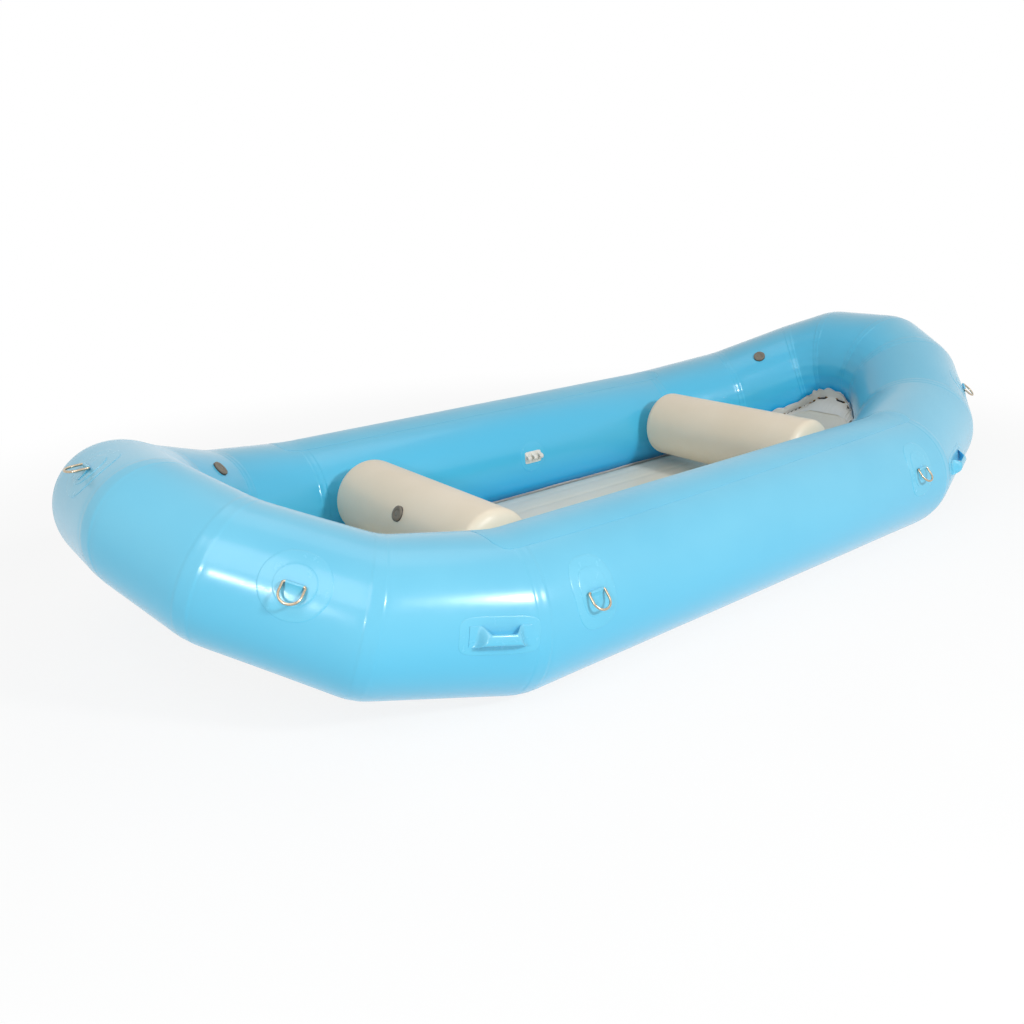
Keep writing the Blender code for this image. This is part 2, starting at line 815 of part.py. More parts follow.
def lacing_cord():
    curve = bpy.data.curves.new("lacing_cord", "CURVE")
    curve.dimensions = "3D"
    curve.bevel_depth = cord_radius
    curve.bevel_resolution = 1
    points = []
    for i, grommet in enumerate(grommets):
        levels = (front_cord, back_cord) if i % 2 else (back_cord, front_cord)
        points += [grommet.frame @ Vector((0, 0, level)) for level in levels]
    spline = curve.splines.new("POLY")
    spline.points.add(len(points) - 1)
    for point, place in zip(spline.points, points):
        point.co = (*place, 1)
    spline.use_cyclic_u = True
    made = bpy.data.objects.new("lacing_cord", curve)
    parts.objects.link(made)
    curve.materials.append(cord_fibre())
    length = sum((b - a).length for a, b in zip(points, points[1:] + points[:1]))
    print(f"lacing cord {length:.2f} m through {len(grommets)} grommets")


lacing_cord()
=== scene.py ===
import json
import math

import bmesh
import bpy
from mathutils import Matrix, Vector, noise
from mathutils.bvhtree import BVHTree

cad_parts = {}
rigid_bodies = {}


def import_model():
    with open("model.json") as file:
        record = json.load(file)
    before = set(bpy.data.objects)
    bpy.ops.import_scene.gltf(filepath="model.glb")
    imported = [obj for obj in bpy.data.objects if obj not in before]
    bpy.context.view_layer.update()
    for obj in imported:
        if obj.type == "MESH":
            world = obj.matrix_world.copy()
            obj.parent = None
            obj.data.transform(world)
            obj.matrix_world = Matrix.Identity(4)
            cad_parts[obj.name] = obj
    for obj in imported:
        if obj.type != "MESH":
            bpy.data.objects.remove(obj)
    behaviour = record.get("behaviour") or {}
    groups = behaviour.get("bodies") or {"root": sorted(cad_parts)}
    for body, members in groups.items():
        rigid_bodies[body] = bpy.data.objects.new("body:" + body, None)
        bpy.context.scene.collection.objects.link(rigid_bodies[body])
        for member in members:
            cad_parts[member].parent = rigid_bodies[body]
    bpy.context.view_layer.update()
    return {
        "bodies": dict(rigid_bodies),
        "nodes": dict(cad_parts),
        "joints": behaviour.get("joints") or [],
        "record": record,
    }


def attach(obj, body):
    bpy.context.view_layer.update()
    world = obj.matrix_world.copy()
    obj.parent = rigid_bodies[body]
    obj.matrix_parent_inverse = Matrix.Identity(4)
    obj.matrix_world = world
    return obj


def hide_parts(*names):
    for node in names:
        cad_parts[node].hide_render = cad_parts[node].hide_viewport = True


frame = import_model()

print("frame loaded")


# Camera: the photograph's own place, worked out from the hull's corners
cameraView = {"place": (2.631, 2.848, 1.487), "lens": 31.79, "sensor": 36.0,
              "right": (-0.7884, 0.6142, -0.0346), "up": (-0.2270, -0.2382, 0.9443)}


def placeCamera(view):
    data = bpy.data.cameras.new("studioCamera")
    data.lens, data.sensor_width = view["lens"], view["sensor"]
    made = bpy.data.objects.new("studioCamera", data)
    right = Vector(view["right"]).normalized()
    up = Vector(view["up"])
    up = (up - right * up.dot(right)).normalized()
    turn = Matrix((right, up, right.cross(up))).transposed().to_4x4()
    made.matrix_world = Matrix.Translation(view["place"]) @ turn
    bpy.context.scene.collection.objects.link(made)
    bpy.context.scene.camera = made


placeCamera(cameraView)


# Materials

def linear(code):
    # sRGB hex to linear light
    parts = [int(code[i:i + 2], 16) / 255 for i in (1, 3, 5)]
    return [c / 12.92 if c <= 0.04045 else ((c + 0.055) / 1.055) ** 2.4 for c in parts] + [1.0]


def feed(tree, node, links):
    # links: input name or number -> (node, output name or number)
    for key, (source, output) in links.items():
        tree.links.new(source.outputs[output], node.inputs[key])


def addNode(tree, kind, settings=None, links=None):
    made = tree.nodes.new(kind)
    for key, value in (settings or {}).items():
        if key == "stops":
            # A colour ramp's two points, place: colour
            for point, (place, colour) in zip(made.color_ramp.elements, value.items()):
                point.position, point.color = place, colour
        elif isinstance(key, str) and hasattr(made, key):
            setattr(made, key, value)
        else:
            made.inputs[key].default_value = value
    feed(tree, made, links or {})
    return made


def startMaterial(name, settings):
    made = bpy.data.materials.new(name)
    made.use_nodes = True
    tree = made.node_tree
    shader = tree.nodes["Principled BSDF"]
    for key, value in settings.items():
        shader.inputs[key].default_value = value
    return made, tree, shader


def grey(value):
    return (value, value, value, 1.0)


def bandScale(pitchMm):
    # A Wave texture's scale for bands this far apart
    return 1000 / pitchMm / 6.283


# How a Normal or a place turns into a share of the painted-shade colours, as Map Range limits
paintedShadeSpans = {"fall": (0.55, -0.35), "inward": (-0.15, -0.85), "under": (0.15, -0.65),
               "outline": (0.38, 1.0, 0.0)}


def shareOf(span):
    return {"interpolation_type": "SMOOTHSTEP", "From Min": span[0], "From Max": span[1]}


# Urethane-coated polyester: a poured, nearly mirror-smooth skin with a faint weave under it
def coatedFabric(name, colours, roughness, weaveMm, weaveDepth, waveDepth, coat=0.0, haze=0.0, paintedShadeColours=None):
    # The last three colours: painted shade for low faces, for faces turned in to the boat's middle, and for
    # those that are both
    made, tree, shader = startMaterial(name, {"IOR": 1.5, "Coat Weight": coat, "Coat Roughness": 0.08,
                                              "Sheen Weight": haze, "Sheen Roughness": 0.45})
    at = addNode(tree, "ShaderNodeTexCoord")
    cloudy = addNode(tree, "ShaderNodeTexNoise", {"Scale": 2.3, "Detail": 3.0, "Roughness": 0.55},
                     {"Vector": (at, "Object")})
    tint = addNode(tree, "ShaderNodeValToRGB", {"stops": {0.30: linear(colours[0]), 0.70: linear(colours[1])}},
                   {"Fac": (cloudy, "Fac")})
    tintOut = "Color"
    if paintedShadeColours:
        # Painted shade: faces turned down or in to the boat's middle get a deeper, more saturated colour that
        # stands in for the shade and blue bounce light there
        fall = addNode(tree, "ShaderNodeVectorMath", {"operation": "DOT_PRODUCT", 1: (0.0, 0.0, 1.0)},
                       {0: (at, "Normal")})
        shade = addNode(tree, "ShaderNodeMapRange", shareOf(paintedShadeSpans["fall"]), {"Value": (fall, "Value")})
        flat = addNode(tree, "ShaderNodeVectorMath", {"operation": "MULTIPLY", 1: paintedShadeSpans["outline"]},
                       {0: (at, "Object")})
        outward = addNode(tree, "ShaderNodeVectorMath", {"operation": "NORMALIZE"}, {0: (flat, "Vector")})
        turned = addNode(tree, "ShaderNodeVectorMath", {"operation": "DOT_PRODUCT"},
                         {0: (outward, "Vector"), 1: (at, "Normal")})
        inward = addNode(tree, "ShaderNodeMapRange", shareOf(paintedShadeSpans["inward"]),
                         {"Value": (turned, "Value")})
        low = addNode(tree, "ShaderNodeMapRange", shareOf(paintedShadeSpans["under"]), {"Value": (fall, "Value")})
        both = addNode(tree, "ShaderNodeMath", {"operation": "MULTIPLY"},
                       {0: (inward, "Result"), 1: (low, "Result")})
        for colour, share in zip(paintedShadeColours, ((shade, "Result"), (inward, "Result"), (both, 0))):
            # Sockets 6 and 7 are the two colours of a Mix, 2 its colour output
            tint = addNode(tree, "ShaderNodeMix", {"data_type": "RGBA", 7: linear(colour)},
                           {0: share, 6: (tint, tintOut)})
            tintOut = 2
    scuff = addNode(tree, "ShaderNodeTexNoise", {"Scale": 38.0, "Detail": 5.0, "Roughness": 0.65},
                    {"Vector": (at, "Object")})
    gloss = addNode(tree, "ShaderNodeValToRGB", {"stops": {0.35: grey(roughness[0]), 0.75: grey(roughness[1])}},
                    {"Fac": (scuff, "Fac")})
    # Two crossed bands stand for warp and weft, drawn coarser than the real 0.5 mm threads
    across = addNode(tree, "ShaderNodeTexWave", {"Scale": bandScale(weaveMm), "bands_direction": "X"},
                     {"Vector": (at, "Object")})
    along = addNode(tree, "ShaderNodeTexWave", {"Scale": bandScale(weaveMm), "bands_direction": "Z"},
                    {"Vector": (at, "Object")})
    weave = addNode(tree, "ShaderNodeMath", {"operation": "MULTIPLY"},
                    {0: (across, "Fac"), 1: (along, "Fac")})
    fine = addNode(tree, "ShaderNodeBump", {"Strength": weaveDepth, "Distance": 0.0002},
                   {"Height": (weave, 0)})
    swell = addNode(tree, "ShaderNodeTexNoise", {"Scale": 5.5, "Detail": 2.0, "Roughness": 0.4},
                    {"Vector": (at, "Object")})
    wavy = addNode(tree, "ShaderNodeBump", {"Strength": waveDepth, "Distance": 0.004},
                   {"Height": (swell, "Fac"), "Normal": (fine, "Normal")})
    feed(tree, shader, {"Base Color": (tint, tintOut), "Roughness": (gloss, "Color"),
                        "Normal": (wavy, "Normal")})
    return made


# Stainless wire, tumbled: bright with a fine grey haze
def tumbledSteel(name, colours, roughness):
    made, tree, shader = startMaterial(name, {"Metallic": 1.0})
    at = addNode(tree, "ShaderNodeTexCoord")
    haze = addNode(tree, "ShaderNodeTexNoise", {"Scale": 220.0, "Detail": 4.0}, {"Vector": (at, "Object")})
    tint = addNode(tree, "ShaderNodeValToRGB", {"stops": {0.3: linear(colours[0]), 0.7: linear(colours[1])}},
                   {"Fac": (haze, "Fac")})
    gloss = addNode(tree, "ShaderNodeValToRGB", {"stops": {0.3: grey(roughness[0]), 0.7: grey(roughness[1])}},
                    {"Fac": (haze, "Fac")})
    dents = addNode(tree, "ShaderNodeBump", {"Strength": 0.15, "Distance": 0.0003}, {"Height": (haze, "Fac")})
    feed(tree, shader, {"Base Color": (tint, "Color"), "Roughness": (gloss, "Color"),
                        "Normal": (dents, "Normal")})
    return made


# Moulded nylon: a spark-eroded tool leaves a fine even grain
def mouldedNylon(name, colours, roughness, grainMm):
    made, tree, shader = startMaterial(name, {"IOR": 1.53})
    at = addNode(tree, "ShaderNodeTexCoord")
    grain = addNode(tree, "ShaderNodeTexNoise", {"Scale": 1000 / grainMm, "Detail": 2.0},
                    {"Vector": (at, "Object")})
    dust = addNode(tree, "ShaderNodeTexNoise", {"Scale": 45.0, "Detail": 4.0}, {"Vector": (at, "Object")})
    tint = addNode(tree, "ShaderNodeValToRGB", {"stops": {0.3: linear(colours[0]), 0.7: linear(colours[1])}},
                   {"Fac": (dust, "Fac")})
    gloss = addNode(tree, "ShaderNodeValToRGB", {"stops": {0.3: grey(roughness[0]), 0.7: grey(roughness[1])}},
                    {"Fac": (dust, "Fac")})
    stipple = addNode(tree, "ShaderNodeBump", {"Strength": 0.35, "Distance": 0.0003},
                      {"Height": (grain, "Fac")})
    feed(tree, shader, {"Base Color": (tint, "Color"), "Roughness": (gloss, "Color"),
                        "Normal": (stipple, "Normal")})
    return made


# Braided polyester cord: strands show as slanted bands
def braidedCord(name, colours, strandMm):
    made, tree, shader = startMaterial(name, {"Roughness": 0.8, "Sheen Weight": 0.3, "Sheen Roughness": 0.5})
    at = addNode(tree, "ShaderNodeTexCoord")
    tilt = addNode(tree, "ShaderNodeMapping", {"Rotation": (0.5, 0.6, 0.7)}, {"Vector": (at, "Object")})
    bands = addNode(tree, "ShaderNodeTexWave", {"Scale": bandScale(strandMm), "Distortion": 1.5},
                    {"Vector": (tilt, "Vector")})
    tint = addNode(tree, "ShaderNodeValToRGB", {"stops": {0.2: linear(colours[0]), 0.8: linear(colours[1])}},
                   {"Fac": (bands, "Fac")})
    ridges = addNode(tree, "ShaderNodeBump", {"Strength": 0.6, "Distance": 0.0006}, {"Height": (bands, "Fac")})
    feed(tree, shader, {"Base Color": (tint, "Color"), "Normal": (ridges, "Normal")})
    return made


finishes = {
    # The last three colours of the tube and the patch are painted shade for low faces, inward faces and faces
    # that are both
    "tube": coatedFabric("urethaneCoatedBlue", ("#66BCDB", "#6EC2DF"), (0.20, 0.27), 2.0, 0.05, 0.06,
                         0.12, 0.14, ("#57C0E4", "#50C1E8", "#08B6F4")),
    "patch": coatedFabric("urethanePatchBlue", ("#6ABFDD", "#72C5E1"), (0.22, 0.30), 1.6, 0.08, 0.05,
                          0.12, 0.14, ("#5BC3E5", "#54C3E9", "#12B8F4")),
    "chafe": coatedFabric("embossedChafeBlue", ("#64BEDE", "#6CC4E2"), (0.30, 0.40), 2.4, 0.5, 0.05, 0.0, 0.12),
    "thwart": coatedFabric("urethaneCoatedCream", ("#E6D7BE", "#EDE0CA"), (0.34, 0.46), 2.0, 0.08, 0.06),
    "floor": coatedFabric("coatedFloorGrey", ("#E2DCCD", "#EAE5D9"), (0.42, 0.55), 2.2, 0.25, 0.12),
    "flap": coatedFabric("coatedFlapGrey", ("#E2E1DC", "#EAE9E5"), (0.45, 0.58), 1.8, 0.2, 0.10),
    "steel": tumbledSteel("stainlessWire", ("#B9A890", "#CABAA3"), (0.16, 0.26)),
    "batten": tumbledSteel("stainlessRod", ("#B9B6B0", "#C9C6C0"), (0.25, 0.35)),
    "brass": tumbledSteel("brassGrommet", ("#94703A", "#A98449"), (0.28, 0.40)),
    "knuckle": mouldedNylon("mouldedNylonWhite", ("#DEDBD2", "#E9E6DE"), (0.35, 0.45), 0.8),
    "cap": mouldedNylon("mouldedNylonBrownGrey", ("#6F675B", "#7D7568"), (0.42, 0.55), 0.9),
    "valve": mouldedNylon("mouldedNylonDark", ("#3B3833", "#46423C"), (0.38, 0.5), 0.8),
    "cord": braidedCord("braidedCordBlack", ("#0E0E10", "#232326"), 2.2),
}
print("materials made")


# Helpers for shapes

def toMesh(name, bm):
    mesh = bpy.data.meshes.new(name)
    bm.to_mesh(mesh)
    bm.free()
    return mesh


def finishMesh(name, bm, finish, body, merge=True, sharp=40):
    if merge:
        bmesh.ops.remove_doubles(bm, verts=bm.verts, dist=0.00002)
        bmesh.ops.recalc_face_normals(bm, faces=bm.faces)
    mesh = toMesh(name, bm)
    mesh.shade_smooth()
    mesh.set_sharp_from_angle(angle=math.radians(sharp))
    made = bpy.data.objects.new(name, mesh)
    bpy.context.scene.collection.objects.link(made)
    mesh.materials.append(finishes[finish])
    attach(made, body)
    return made


def linked(verts, kind):
    # The edges or faces that meet at some points, each once
    return list(dict.fromkeys(item for v in verts for item in getattr(v, kind)))


def startCircle(bm, sides, matrix):
    verts = bmesh.ops.create_circle(bm, segments=sides, radius=1.0, matrix=matrix)["verts"]
    return linked(verts, "link_edges")


def extrudeEdges(bm, edges):
    # The new row's points, and the edges that run along it
    made = bmesh.ops.extrude_edge_only(bm, edges=edges)["geom"]
    verts = [g for g in made if isinstance(g, bmesh.types.BMVert)]
    row = set(verts)
    return verts, [g for g in made if isinstance(g, bmesh.types.BMEdge) and all(v in row for v in g.verts)]


def sweep(bm, rings, sides, closed=False):
    # A unit circle carried from one ring matrix to the next by extruding its edges
    edges = startCircle(bm, sides, rings[0])
    startEdges = list(edges)
    for before, after in zip(rings, rings[1:]):
        verts, edges = extrudeEdges(bm, edges)
        bmesh.ops.transform(bm, matrix=after @ before.inverted(), verts=verts)
    if closed:
        bmesh.ops.bridge_loops(bm, edges=startEdges + edges)
    else:
        for rim in (startEdges, edges):
            bmesh.ops.edgeloop_fill(bm, edges=rim)


def disk(bm, profile, spokes):
    # A profile of (distance out, height) pairs turned once about Z
    verts = [bm.verts.new((r, 0, z)) for r, z in profile]
    edges = [bm.edges.new(pair) for pair in zip(verts, verts[1:])]
    bmesh.ops.spin(bm, geom=verts + edges, cent=(0, 0, 0), axis=(0, 0, 1), angle=2 * math.pi,
                   steps=spokes, use_merge=True)
    bmesh.ops.remove_doubles(bm, verts=bm.verts, dist=0.00001)
    bmesh.ops.recalc_face_normals(bm, faces=bm.faces)


def spun(name, profile, place, finish, body, sides=64, sharp=35):
    bm = bmesh.new()
    disk(bm, profile, sides)
    bmesh.ops.transform(bm, matrix=place, verts=bm.verts)
    return finishMesh(name, bm, finish, body, sharp=sharp)


# Hull: centreline joints from the bow's middle to the stern's, for the port side
hull = {
    "joints": [((1.938, 0.0, 0.593), 0.210), ((1.938, 0.144, 0.593), 0.210), ((1.819, 0.391, 0.491), 0.227),
               ((1.521, 0.657, 0.341), 0.243), ((1.102, 0.764, 0.260), 0.260), ((0.0, 0.764, 0.260), 0.260),
               ((-1.102, 0.764, 0.260), 0.260), ((-1.611, 0.594, 0.333), 0.263),
               ((-1.938, 0.325, 0.478), 0.266), ((-2.019, 0.144, 0.548), 0.269),
               ((-2.019, 0.0, 0.548), 0.269)],
    "sides": 128, "step": 0.055, "bend": 0.045, "tapeHalf": 0.020, "tapeRise": 0.0003,
    "pinch": 0.0005, "pinchWidth": 0.010,
    # Folds on the inside of each bend: height, width along the tube, reach, and how many go round
    "fold": 0.0016, "foldWidth": 0.050, "foldReach": 0.12, "foldStart": 0.25, "foldCount": 34,
    "swell": 0.0008, "swellScale": 3.1,
}
# The joints that other pieces are placed from, as their numbers in that list
bowMiddle, bowC, bowB, bowA, waist, sternA, sternB, sternMiddle = 0, 2, 3, 4, 5, 6, 7, 10


def jointFrames(side):
    joints = [{"at": Vector((x, y * side, z)), "radius": r} for (x, y, z), r in hull["joints"]]
    for i, here in enumerate(joints):
        before = (here["at"] - joints[i - 1]["at"]).normalized() if i else None
        after = (joints[i + 1]["at"] - here["at"]).normalized() if i < len(joints) - 1 else None
        before, after = before or after, after or before
        along = (before + after).normalized()
        turn = after - before
        bend = turn.normalized() if turn.length > 1e-6 else Vector((0, 0, 0))
        stretch = 1 / along.dot(before)
        up = (Vector((0, 0, 1)) - along * along.z).normalized()
        out = along.cross(up) * side
        here["out"], here["up"], here["along"] = out, up, along
        columns = [(v + bend * bend.dot(v) * (stretch - 1)) * here["radius"] for v in (out, up)] + [along]
        ring = Matrix(columns).transposed().to_4x4()
        ring.translation = here["at"]
        here["ring"] = ring
    return joints


sides = {"Port": jointFrames(1), "Starboard": jointFrames(-1)}


def runLength(joints, first):
    return (joints[first + 1]["at"] - joints[first]["at"]).length


def mixRings(a, b, share):
    return a * (1 - share) + b * share


def bendSteps():
    # Shares of a bend, closest together at the seam tape's two edges and in its middle
    edge = 0.5 - hull["tapeHalf"] / (2 * hull["bend"])
    half = [0, edge * 0.4, edge * 0.75, edge - 0.004, edge + 0.004]
    half += [edge + (0.5 - edge) * s for s in (0.3, 0.55, 0.75, 0.9, 1)]
    return half + [1 - s for s in reversed(half[:-1])]


def hullRings(joints, first, last):
    # Ring matrices with the bends rounded by a quadratic curve, and how far each is from its seam
    rings = []
    for i in range(first, last + 1):
        here = joints[i]["ring"]
        if first < i < last:
            ends = [mixRings(here, joints[i + j]["ring"], hull["bend"] / runLength(joints, i + min(j, 0)))
                    for j in (-1, 1)]
            for t in bendSteps():
                ring = ends[0] * (1 - t) ** 2 + here * (2 * t * (1 - t)) + ends[1] * t ** 2
                rings.append((ring, (t - 0.5) * 2 * hull["bend"]))
        else:
            rings.append((here, None))
        if i < last:
            start, length = rings[-1][0], runLength(joints, i)
            finish = mixRings(here, joints[i + 1]["ring"], 1 - hull["bend"] / length if i + 1 < last else 1)
            count = max(2, round(length / hull["step"]))
            rings += [(mixRings(start, finish, (k + 1) / count), None) for k in range(count - 1)]
    return rings


def tubeQuarter(name, side, first, last, nodes):
    joints = sides[side]
    shaped = []
    for ring, offset in hullRings(joints, first, last):
        rise = 0.0
        if offset is not None:
            rise -= hull["pinch"] * math.exp(-(offset / hull["pinchWidth"]) ** 2)
            if abs(offset) < hull["tapeHalf"]:
                rise += hull["tapeRise"]
        grow = 1 + rise / ring.col[1].to_3d().length
        shaped.append(ring @ Matrix.Diagonal((grow, grow, 1, 1)))
    bm = bmesh.new()
    sweep(bm, shaped, hull["sides"])
    bmesh.ops.recalc_face_normals(bm, faces=bm.faces)
    for vert in bm.verts:
        # The flat ends stay as they are, where two pieces of the tube meet
        if any(len(face.verts) > 4 for face in vert.link_faces):
            continue
        push = noise.noise(vert.co * hull["swellScale"]) * hull["swell"]
        for seam in joints[first + 1:last]:
            away = vert.co - seam["at"]
            distance = away.dot(seam["along"])
            if abs(distance) > hull["foldReach"]:
                continue
            angle = math.atan2(away.dot(seam["up"]), away.dot(seam["out"]))
            inner = max(0.0, -math.cos(angle) - hull["foldStart"]) ** 1.5
            fade = math.exp(-(distance / hull["foldWidth"]) ** 2)
            push += hull["fold"] * inner * fade * math.cos(angle * hull["foldCount"] + seam["at"].x * 9)
        vert.co += vert.normal * push
    made = finishMesh(name, bm, "tube", "hull", merge=False, sharp=60)
    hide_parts(*nodes)
    return made


quarters = {end + side: tubeQuarter("tube" + end + side, side, first, last,
                                    [f"{end.lower()}_{side.lower()}_chamber"])
            for end, first, last in (("Bow", bowMiddle, waist), ("Stern", waist, sternMiddle))
            for side in sides}


def surfaceOf(objects):
    bm = bmesh.new()
    for item in objects:
        bm.from_mesh(item.data)
    tree = BVHTree.FromBMesh(bm)
    bm.free()
    return tree


hullSkin = surfaceOf(quarters.values())
print("tubes made")


def placeOnTube(joints, first, distance, angle):
    # Frame on the tube: X along it, Y down round it, Z off it; and the tube's radius there
    a, b, length = joints[first], joints[first + 1], runLength(joints, first)
    along = (b["at"] - a["at"]).normalized()
    share = distance / length
    radius = a["radius"] + (b["radius"] - a["radius"]) * share
    up = (Vector((0, 0, 1)) - along * along.z).normalized()
    out = along.cross(up)
    if out.dot(a["out"]) < 0:
        out = -out
    turn = math.radians(angle)
    off = out * math.cos(turn) + up * math.sin(turn)
    down = out * math.sin(turn) - up * math.cos(turn)
    normal = (off - along * ((b["radius"] - a["radius"]) / length)).normalized()
    frame = Matrix((down.cross(normal), down, normal)).transposed().to_4x4()
    frame.translation = a["at"].lerp(b["at"], share) + off * radius
    return frame, radius


def onSkin(frame, radius, x, y, height):
    # A point wrapped round the tube from a flat place on its frame
    turn = y / radius
    off = frame.to_3x3() @ Vector((0, math.sin(turn), math.cos(turn)))
    axis = frame @ Vector((x, 0, -radius))
    hit = hullSkin.ray_cast(axis + off * (radius + 0.15), -off)[0]
    return (hit or axis + off * radius) + off * height


def unitTube(bm, steps, sides):
    # A tube along X, one unit a step, to be given its real shape point by point
    turn = Matrix.Rotation(math.pi / 2, 4, "Y")
    sweep(bm, [Matrix.Translation((i, 0, 0)) @ turn for i in range(steps + 1)], sides)


# Patches: welded fabric with a rounded outline, most with a second smaller layer
patchStyle = {"layer": 0.0012, "inner": 0.0011, "sunk": 0.0008, "lump": 0.0006, "lumpScale": 42,
              "circles": 13, "spokes": 112}


def roundOutline(size):
    return lambda angle: size


def softOutline(halfLength, halfWidth, power):
    return lambda angle: ((abs(math.cos(angle)) / halfLength) ** power
                          + (abs(math.sin(angle)) / halfWidth) ** power) ** (-1 / power)


def patch(name, frame, radius, outline, nodes, innerShare=None, lump=0.0, finish="patch"):
    low, top = patchStyle["layer"], patchStyle["layer"] + patchStyle["inner"]
    shares = [i / patchStyle["circles"] for i in range(1, patchStyle["circles"])]
    if innerShare:
        profile = [(0, top)] + [(s, top) for s in shares if s < innerShare - 0.02]
        profile += [(innerShare - 0.010, top), (innerShare - 0.002, top - 0.0003),
                    (innerShare, low + 0.0001), (innerShare + 0.012, low)]
        profile += [(s, low) for s in shares if s > innerShare + 0.02]
    else:
        profile = [(0, low)] + [(s, low) for s in shares]
    profile += [(0.975, low), (0.990, low - 0.0002), (1.0, low * 0.35)]
    profile += [(s, -patchStyle["sunk"]) for s in (1.0, 0.75, 0.5, 0.25, 0)]
    bm = bmesh.new()
    disk(bm, profile, patchStyle["spokes"])
    for vert in bm.verts:
        share, angle = math.hypot(vert.co.x, vert.co.y), math.atan2(vert.co.y, vert.co.x)
        reach = share * outline(angle)
        x, y, height = reach * math.cos(angle), reach * math.sin(angle), vert.co.z
        if height > 0 and lump:
            wave = noise.noise(Vector((x, y, 0)) * patchStyle["lumpScale"] + frame.translation)
            height += lump * (wave + 0.5) * (1 - share)
        vert.co = onSkin(frame, radius, x, y, height)
    made = finishMesh(name, bm, finish, "hull", sharp=50)
    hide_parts(*nodes)
    return made


# Tie-down rings: 8 mm wire bent to a D, its bar in a folded tab
ringSize = {"wire": 0.004, "halfWidth": 0.032, "corner": 0.006, "arm": 0.030, "height": 0.009,
            "tabHalf": 0.0255, "tabTail": 0.047, "tabThick": 0.0014, "tabTaper": 0.30, "tabRound": 0.20,
            # Where the tab stops standing straight and where it lies on the skin; its rows across
            "straightTo": 0.006, "lainFrom": 0.022, "tabSteps": 14}


def arc(centre, radius, start, end, steps):
    turns = [math.radians(start + (end - start) * i / steps) for i in range(steps + 1)]
    return [Vector((centre[0] + radius * math.cos(t), centre[1] + radius * math.sin(t), 0)) for t in turns]


def wireRing(name, place, body, node):
    w, c, arm = ringSize["halfWidth"], ringSize["corner"], ringSize["arm"]
    points = arc((w - c, c), c, -90, 0, 8) + [Vector((w, c + (arm - c) * i / 3, 0)) for i in (1, 2)]
    points += arc((0, arm), w, 0, 180, 40) + [Vector((-w, arm - (arm - c) * i / 3, 0)) for i in (1, 2)]
    points += arc((-w + c, c), c, 180, 270, 8) + [Vector((x, 0, 0)) for x in (-0.013, 0, 0.013)]
    rings = []
    for before, here, after in zip(points[-1:] + points[:-1], points, points[1:] + points[:1]):
        along = (after - before).normalized()
        side = along.cross(Vector((0, 0, 1)))
        ring = Matrix((side * ringSize["wire"], Vector((0, 0, -ringSize["wire"])), along)).transposed().to_4x4()
        ring.translation = here
        rings.append(place @ ring)
    bm = bmesh.new()
    sweep(bm, rings, 20, closed=True)
    made = finishMesh(name, bm, "steel", body, sharp=60)
    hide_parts(node)
    return made


def ringTab(name, frame, radius, node):
    # The folded tab, drawn from the side as (distance down the tube, height) and given its width
    tail, bar, loop = ringSize["tabTail"], ringSize["height"], ringSize["wire"] + 0.0014
    base = patchStyle["layer"] + patchStyle["inner"] + 0.0006
    side = [(tail, base), (tail * 0.7, base), (0.018, base), (0.010, base + 0.0001), (0.005, base + 0.0007)]
    for angle in range(290, 29, -20):
        side.append((loop * math.cos(math.radians(angle)), bar + loop * math.sin(math.radians(angle))))
    side += [(0.0075, bar + 0.0012), (0.012, bar - 0.0022), (0.017, base + 0.0032), (0.024, base + 0.0020)]
    side += [(tail * 0.7, base + 0.0016), (tail * 0.86, base + 0.0016), (tail, base + 0.0015)]
    bm = bmesh.new()
    verts = [bm.verts.new((-1, y, z)) for y, z in side]
    edges = [bm.edges.new(pair) for pair in zip(verts, verts[1:])]
    for _ in range(ringSize["tabSteps"]):
        verts, edges = extrudeEdges(bm, edges)
        bmesh.ops.translate(bm, vec=(2 / ringSize["tabSteps"], 0, 0), verts=verts)
    straightTo, lainFrom = ringSize["straightTo"], ringSize["lainFrom"]
    for vert in bm.verts:
        share, y = vert.co.x, vert.co.y
        down = max(y, 0) / tail
        half = ringSize["tabHalf"] * (1 - ringSize["tabTaper"] * down)
        # The fold keeps straight round the bar, and the tail lies down on the skin
        lain = min(max((y - straightTo) / (lainFrom - straightTo), 0), 1)
        y -= tail * ringSize["tabRound"] * down * abs(share) ** 3.5
        straight = frame @ Vector((share * half, y, vert.co.z))
        vert.co = straight.lerp(onSkin(frame, radius, share * half, y, vert.co.z), lain)
    bmesh.ops.recalc_face_normals(bm, faces=bm.faces)
    bmesh.ops.solidify(bm, geom=bm.faces, thickness=ringSize["tabThick"])
    made = finishMesh(name, bm, "patch", "hull", sharp=50)
    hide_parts(node)
    return made


roundPatch = roundOutline(0.1025)
tallPatch = softOutline(0.080, 0.118, 2.7)


def tieDown(label, node, joints, first, distance, angle, outline, inner, lift=20.0):
    frame, radius = placeOnTube(joints, first, distance, angle)
    patch("patch" + label, frame, radius, outline, [node + "_patch"], inner, patchStyle["lump"])
    ringTab("tab" + label, frame, radius, node + "_patch")
    turn = Matrix.Translation((0, 0, ringSize["height"])) @ Matrix.Rotation(math.radians(lift), 4, "X")
    wireRing("ring" + label, frame @ turn, node, node)


tieDown("Bow", "bow_ring", sides["Port"], bowMiddle, 0.0, 57, roundPatch, 0.60, 30.0)
for side, joints in sides.items():
    for label, node, first, distance, angle, outline, inner in [
            ("BowQuarter", "bow_quarter", bowC, runLength(joints, bowC) - 0.189, 34, roundPatch, 0.60),
            ("Fore", "fore", bowA, 0.175, 22.5, tallPatch, 0.66),
            ("Aft", "aft", waist, runLength(joints, waist) - 0.175, 22.5, tallPatch, 0.66),
            ("SternQuarter", "stern_quarter", sternB, 0.190, 30, roundPatch, 0.60)]:
        tieDown(label + side, f"{node}_{side.lower()}_ring", joints, first, distance, angle, outline, inner)
print("rings and patches made")


